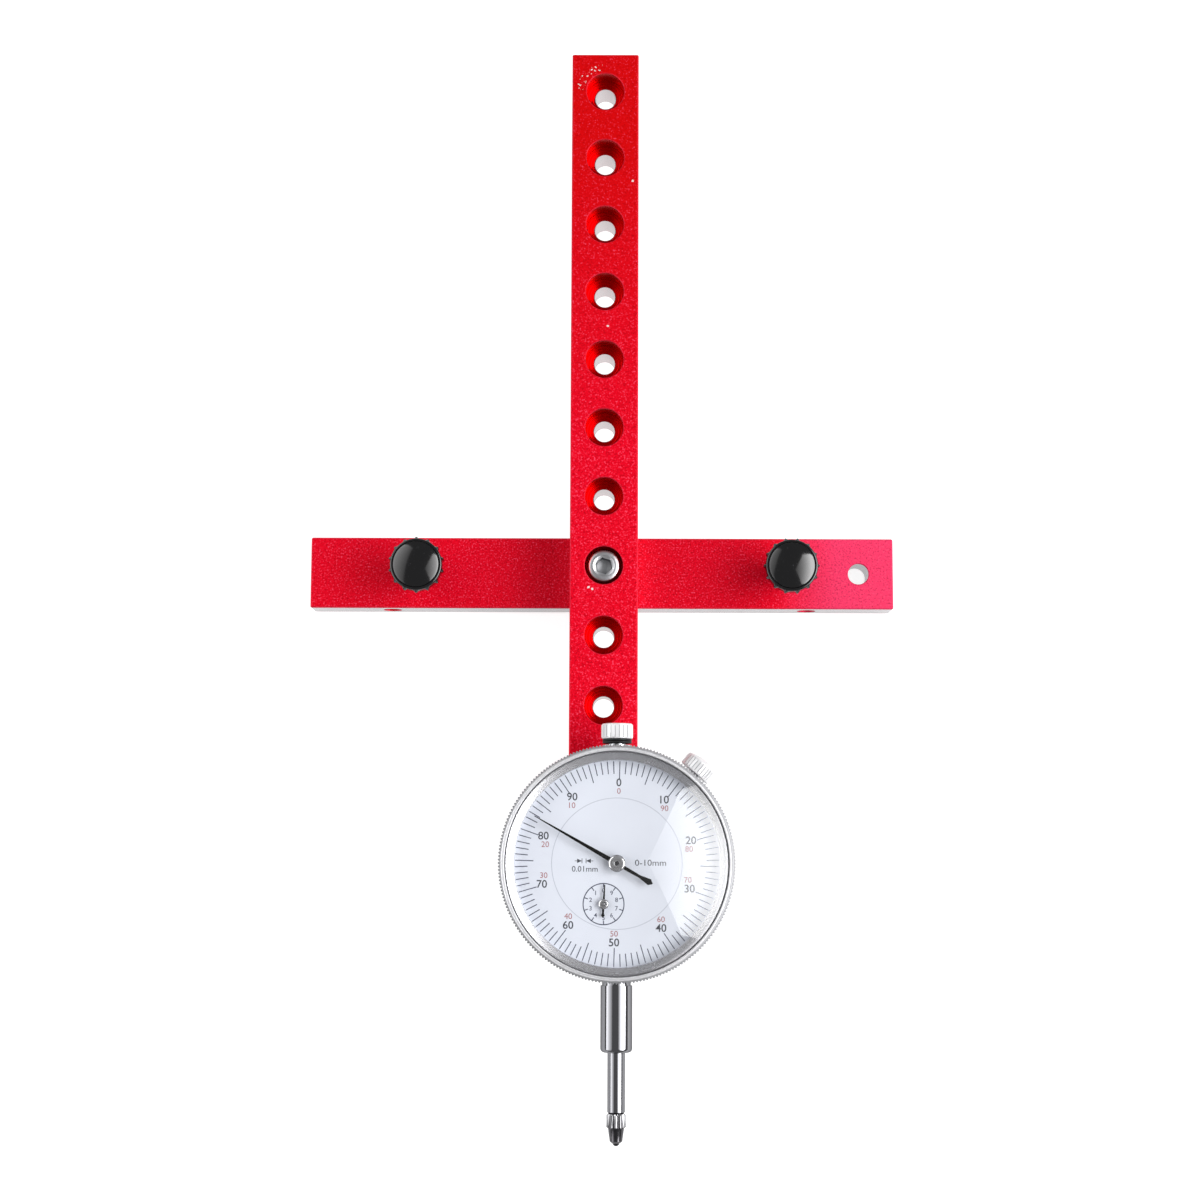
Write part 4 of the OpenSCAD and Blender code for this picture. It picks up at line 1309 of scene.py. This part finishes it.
@dataclass
class Spindle(Assembly):
    """The spindle with its contact point and its lifting cap."""

    cap_low: float = 31.35  # Place of the cap's lower end along the spindle, from the dial's centre
    cap_len: float = 3.85
    cap_r: float = 4.0  # Distance of the cap's facets from the axis
    tip: float = 69.6  # Distance of the contact tip from the dial's centre
    collar_r: float = 2.33

    def add(self, piece: Piece, sharp: float, finish: Finish, slot: str, node: str) -> None:
        """Lays a turned piece along the spindle's axis, smooths it and mounts it on the spindle."""
        smooth(settle(piece, self.datum.on_dial(SPINDLE_Z), (-90, 0, 0)), sharp)
        mount(piece, finish, "spindle", slot, node)

    def cap(self) -> None:
        """Models the ridged lifting cap and the rubber cushion under it."""
        low, high, flat = self.cap_low, self.cap_low + self.cap_len, self.cap_r
        profile = [
            (0.0, low), *arc((flat - 0.35, low + 0.3), 0.3, -90, 0, 3), (flat, low + 0.4), (flat, high - 0.5),
            *arc((flat - 0.45, high - 0.4), 0.4, 0, 80, 4), (2.0, high), (0.0, high),
        ]
        ridges = Ridges(22, 6, facets(22, 6, flat, 0.18), low + 0.4, high - 0.5, flat)
        self.add(spun("lifting_cap_ridged", profile, ridges), 12, NICKEL, "chrome_trim", "lifting_cap")
        base = low - 1.2
        profile = [
            (2.22, base), *arc((3.45, base + 0.31), 0.29, -90, 80, 5), (3.62, base + 0.6),
            *arc((3.45, base + 0.89), 0.29, -80, 90, 5), (2.22, low - 0.01),
        ]
        cushion = spun("cap_cushion_moulded", profile, 64, closed=True)
        self.add(cushion, 32, RUBBER, "black_rubber", "cap_cushion")

    def point(self) -> None:
        """Models the fluted contact point."""
        tip, collar = -self.tip, self.collar_r
        seat, nose = tip + 8, tip + 4.4
        profile = [
            (0.0, tip), *arc((0.0, tip + 0.9), 0.9, -80, -12, 6), (1.3, tip + 0.95), (1.58, tip + 1.25),
            (2.02, nose - 0.1), (2.06, nose), (collar, nose + 0.3), (collar, seat - 0.4),
            (2.2, seat - 0.1), (1.9, seat), (0.0, seat),
        ]
        flutes = Ridges(12, 8, (0.1, 0.06, -0.08, -0.22, -0.27), nose + 0.3, seat - 0.4, collar)
        self.add(spun("contact_point_fluted", profile, flutes), 30, POINT, "tool_steel", "contact_point")

    def build(self) -> None:
        """Models the cap and the point, and dresses the rod and its guide pin."""
        self.cap()
        self.point()
        self.datum.dress(STEEL, "spindle_rod", "guide_pin")


@dataclass
class Clamp(Assembly):
    """The small knob that holds the bezel still."""

    z: float = 37.2  # Height of its axis
    turn: float = 40.5  # Its direction, clockwise from the top of the dial
    face: float = 29.9  # Distance of the knob's inner face from the dial's centre
    length: float = 3.4  # Length of the knob up to its dome's edge
    flat_r: float = 4.33  # Distance of the knob's facets from its axis
    dome_r: float = 4.0
    dome_h: float = 0.9

    def build(self) -> None:
        """Models the ridged knob and its threaded stud."""
        low, high, flat = self.face, self.face + self.length, self.flat_r
        ball = (self.dome_r**2 + self.dome_h**2) / (2 * self.dome_h)
        edge = math.degrees(math.acos(self.dome_r / ball))
        profile = [
            (0.0, low + 2.4), (1.55, low + 2.4), (1.55, low), *arc((flat - 0.3, low + 0.25), 0.25, -90, 0, 3),
            (flat, low + 0.4), (flat, high - 0.5), *arc((flat - 0.35, high - 0.3), 0.3, 0, 75, 3),
            *arc((0.0, high + self.dome_h - ball), ball, edge, 90, 8),
        ]
        ridges = Ridges(30, 6, facets(30, 6, flat, 0.16), low + 0.4, high - 0.5, flat)
        at, turn = self.datum.on_dial(self.z), (-90, 0, -self.turn)
        knob = smooth(settle(spun("clamp_knob_ridged", profile, ridges), at, turn), 12)
        mount(knob, NICKEL, "clamp_grip", "chrome_trim", "clamp_knob")
        stud = settle(threaded("clamp_stud_threaded", 1.5, 0.5, 24.7, low + 2.3), at, turn)
        mount(stud, ZINC, "clamp_thread", "zinc_steel", "clamp_stud")


@dataclass
class Case(Assembly):
    """The indicator's case and the movement inside it, which keep their solids."""

    finishes: tuple[tuple[Finish, str], ...] = (
        (CASE_METAL, "case_body back_cover"),
        (STEEL, "stem spring_post pinion_arbor centre_arbor takeup_arbor"),
        (CHROME, "upper_bush"),
        (ZINC, "back_screws plate_screws bridge_screws"),
        (SPRING, "return_spring hairspring bezel_spring"),
        (BRASS, "lower_bush lower_plate plate_pillars upper_plate pinion_bridge guide_plate"),
        (BRASS, "hairspring_stud hairspring_collet dial_feet drive_wheel takeup_wheel"),
    )

    def build(self) -> None:
        """Dresses every solid of the case and the movement."""
        for finish, names in self.finishes:
            self.datum.dress(finish, *names.split())


@dataclass
class Lamp:
    """A soft box, square-cornered or six-sided."""

    name: str
    at: Place  # Its middle
    size: Point  # Its width and its length, which lies along Y before the roll
    roll: float  # Turn about the direction that it faces, in degrees
    watts: float
    grade: Point  # Brightness at its two long edges, as shares of the average, the one at the lower X first
    # How much its width shrinks towards the ends, 0 for a rectangle, about 0.6 for a hexagon
    slope: float = 0.0
    bend: float = 1.0  # How sharply the brightness climbs towards the brighter edge, 1 for evenly
    reach: float = 1.0  # Share of the width over which it climbs, from the edge at the lower X

    def build(self, aim: Vector) -> None:
        """Hangs the lamp and tips it about Y towards a point.

        Args:
            aim: the point that it faces, in millimetres.
        """
        clear_selection()
        bpy.ops.object.light_add(type="AREA", location=Vector(self.at) * MM)
        lamp = named(self.name)
        lamp.data.shape = "RECTANGLE"
        lamp.data.size, lamp.data.size_y = (s * MM for s in self.size)
        lamp.data.energy = self.watts
        tip = Matrix.Rotation(math.atan2(self.at[0] - aim.x, self.at[2] - aim.z), 3, "Y")
        lamp.rotation_euler = (tip @ Matrix.Rotation(math.radians(self.roll), 3, "Z")).to_euler()
        lamp.data.use_nodes = True
        tree = lamp.data.node_tree
        across, along, _ = add_node(tree, "NewGeometry", {}, "Parametric").axes()
        lit = abs(along + -0.5) * self.slope + abs(across + -0.5) < 0.5
        climb = across.ramp(0, self.reach, *(end ** (1 / self.bend) for end in self.grade))
        put(tree.nodes["Emission"], {"Strength": lit * climb.math("POWER", self.bend)})


@dataclass
class Studio(Assembly):
    """The camera of the photograph, two soft boxes, a grey room and a white table."""

    camera_at: Place = (1.935, -79.020, 593.457)
    tilt: Place = (-7.01093, -0.29045, -0.18332)  # Turns of the camera about X, Y and Z, in degrees
    focal_px: float = 2198.68
    frame_px: float = 1200.0
    sensor: float = 36.0
    room: float = 0.19  # Brightness of the room's walls and ceiling
    table_glow: float = 0.85  # Light that the table adds where it is seen, so that it is white
    mirror_share: float = 0.6  # Share of that light that the object's own surfaces mirror
    aim_z: float = 25  # Height of the point over the dial's centre that the lamps face

    def camera(self) -> None:
        """Makes the camera."""
        clear_selection()
        bpy.ops.object.camera_add()
        camera = named("photo_camera")
        camera.data.sensor_width = self.sensor
        camera.data.lens = self.sensor * self.focal_px / self.frame_px
        camera.data.clip_start = 0.05
        turns = [Matrix.Rotation(math.radians(-t), 4, axis) for t, axis in zip(self.tilt, "XYZ")]
        place = Matrix.Translation(Vector(self.camera_at) * MM)
        camera.matrix_world = place @ turns[0] @ turns[1] @ turns[2]
        bpy.context.scene.camera = camera

    def world(self) -> None:
        """Makes the grey room, whose backdrop is white where it is seen past the table's edge."""
        world = bpy.data.worlds.new("grey room")
        bpy.context.scene.world = world
        world.use_nodes = True
        seen = add_node(world.node_tree, "LightPath", {}, "Is Camera Ray")
        back = world.node_tree.nodes["Background"]
        put(back, {"Color": linear("#FFFFFF"), "Strength": seen | self.room})

    def table(self) -> None:
        """Makes the white table top, which keeps the object's shadow."""
        clear_selection()
        bpy.ops.mesh.primitive_plane_add(size=6.0, location=(0, 0, -0.0004))
        table = named("table")
        made = bpy.data.materials.new("white laminate, matt")
        made.use_nodes = True
        rays = ("Is Camera Ray", "Is Transmission Ray", "Is Glossy Ray")
        seen, through, mirrored = (add_node(made.node_tree, "LightPath", {}, ray) for ray in rays)
        put(made.node_tree.nodes["Principled BSDF"], {
            "Base Color": linear("#A8A8A8"),
            "Roughness": 0.9,
            "Emission Color": linear("#FFFFFF"),
            "Emission Strength": (seen | through | mirrored * self.mirror_share) * self.table_glow,
        })
        table.data.materials.append(made)

    def build(self) -> None:
        """Sets up the camera, the room, the table and the lamps."""
        self.camera()
        self.world()
        self.table()
        aim = Vector(self.datum.on_dial(self.aim_z))
        key_box = Lamp(
            "key_box", at=(893, -50, 1024), size=(1500, 1500), roll=0, watts=30.5, grade=(0.1, 1.55),
            slope=0.6, bend=4.0, reach=0.54,
        )
        fill_box = Lamp(
            "fill_box", at=(-640, 130, 600), size=(700, 1600), roll=-15, watts=4.2, grade=(3.0, 0.3), bend=1.5
        )
        for lamp in (key_box, fill_box):
            lamp.build(aim)
        bpy.context.scene.view_settings.view_transform = "Standard"


def main() -> None:
    """Builds every sub-assembly in order."""
    logging.basicConfig(level=logging.INFO, format="%(name)s: %(message)s")
    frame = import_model()
    datum = Datum(frame["nodes"])
    Studio(datum).build()
    Bars(datum).build()
    ThumbScrew("left", -49.0, 90.0).build()
    ThumbScrew("right", 49.0, 90.0 + 180 / 14).build()
    for assembly in (Case, Bezel, DialCentre, Hands, Spindle, Clamp):
        assembly(datum).build()
    clear_selection()


if __name__ == "__main__":
    main()
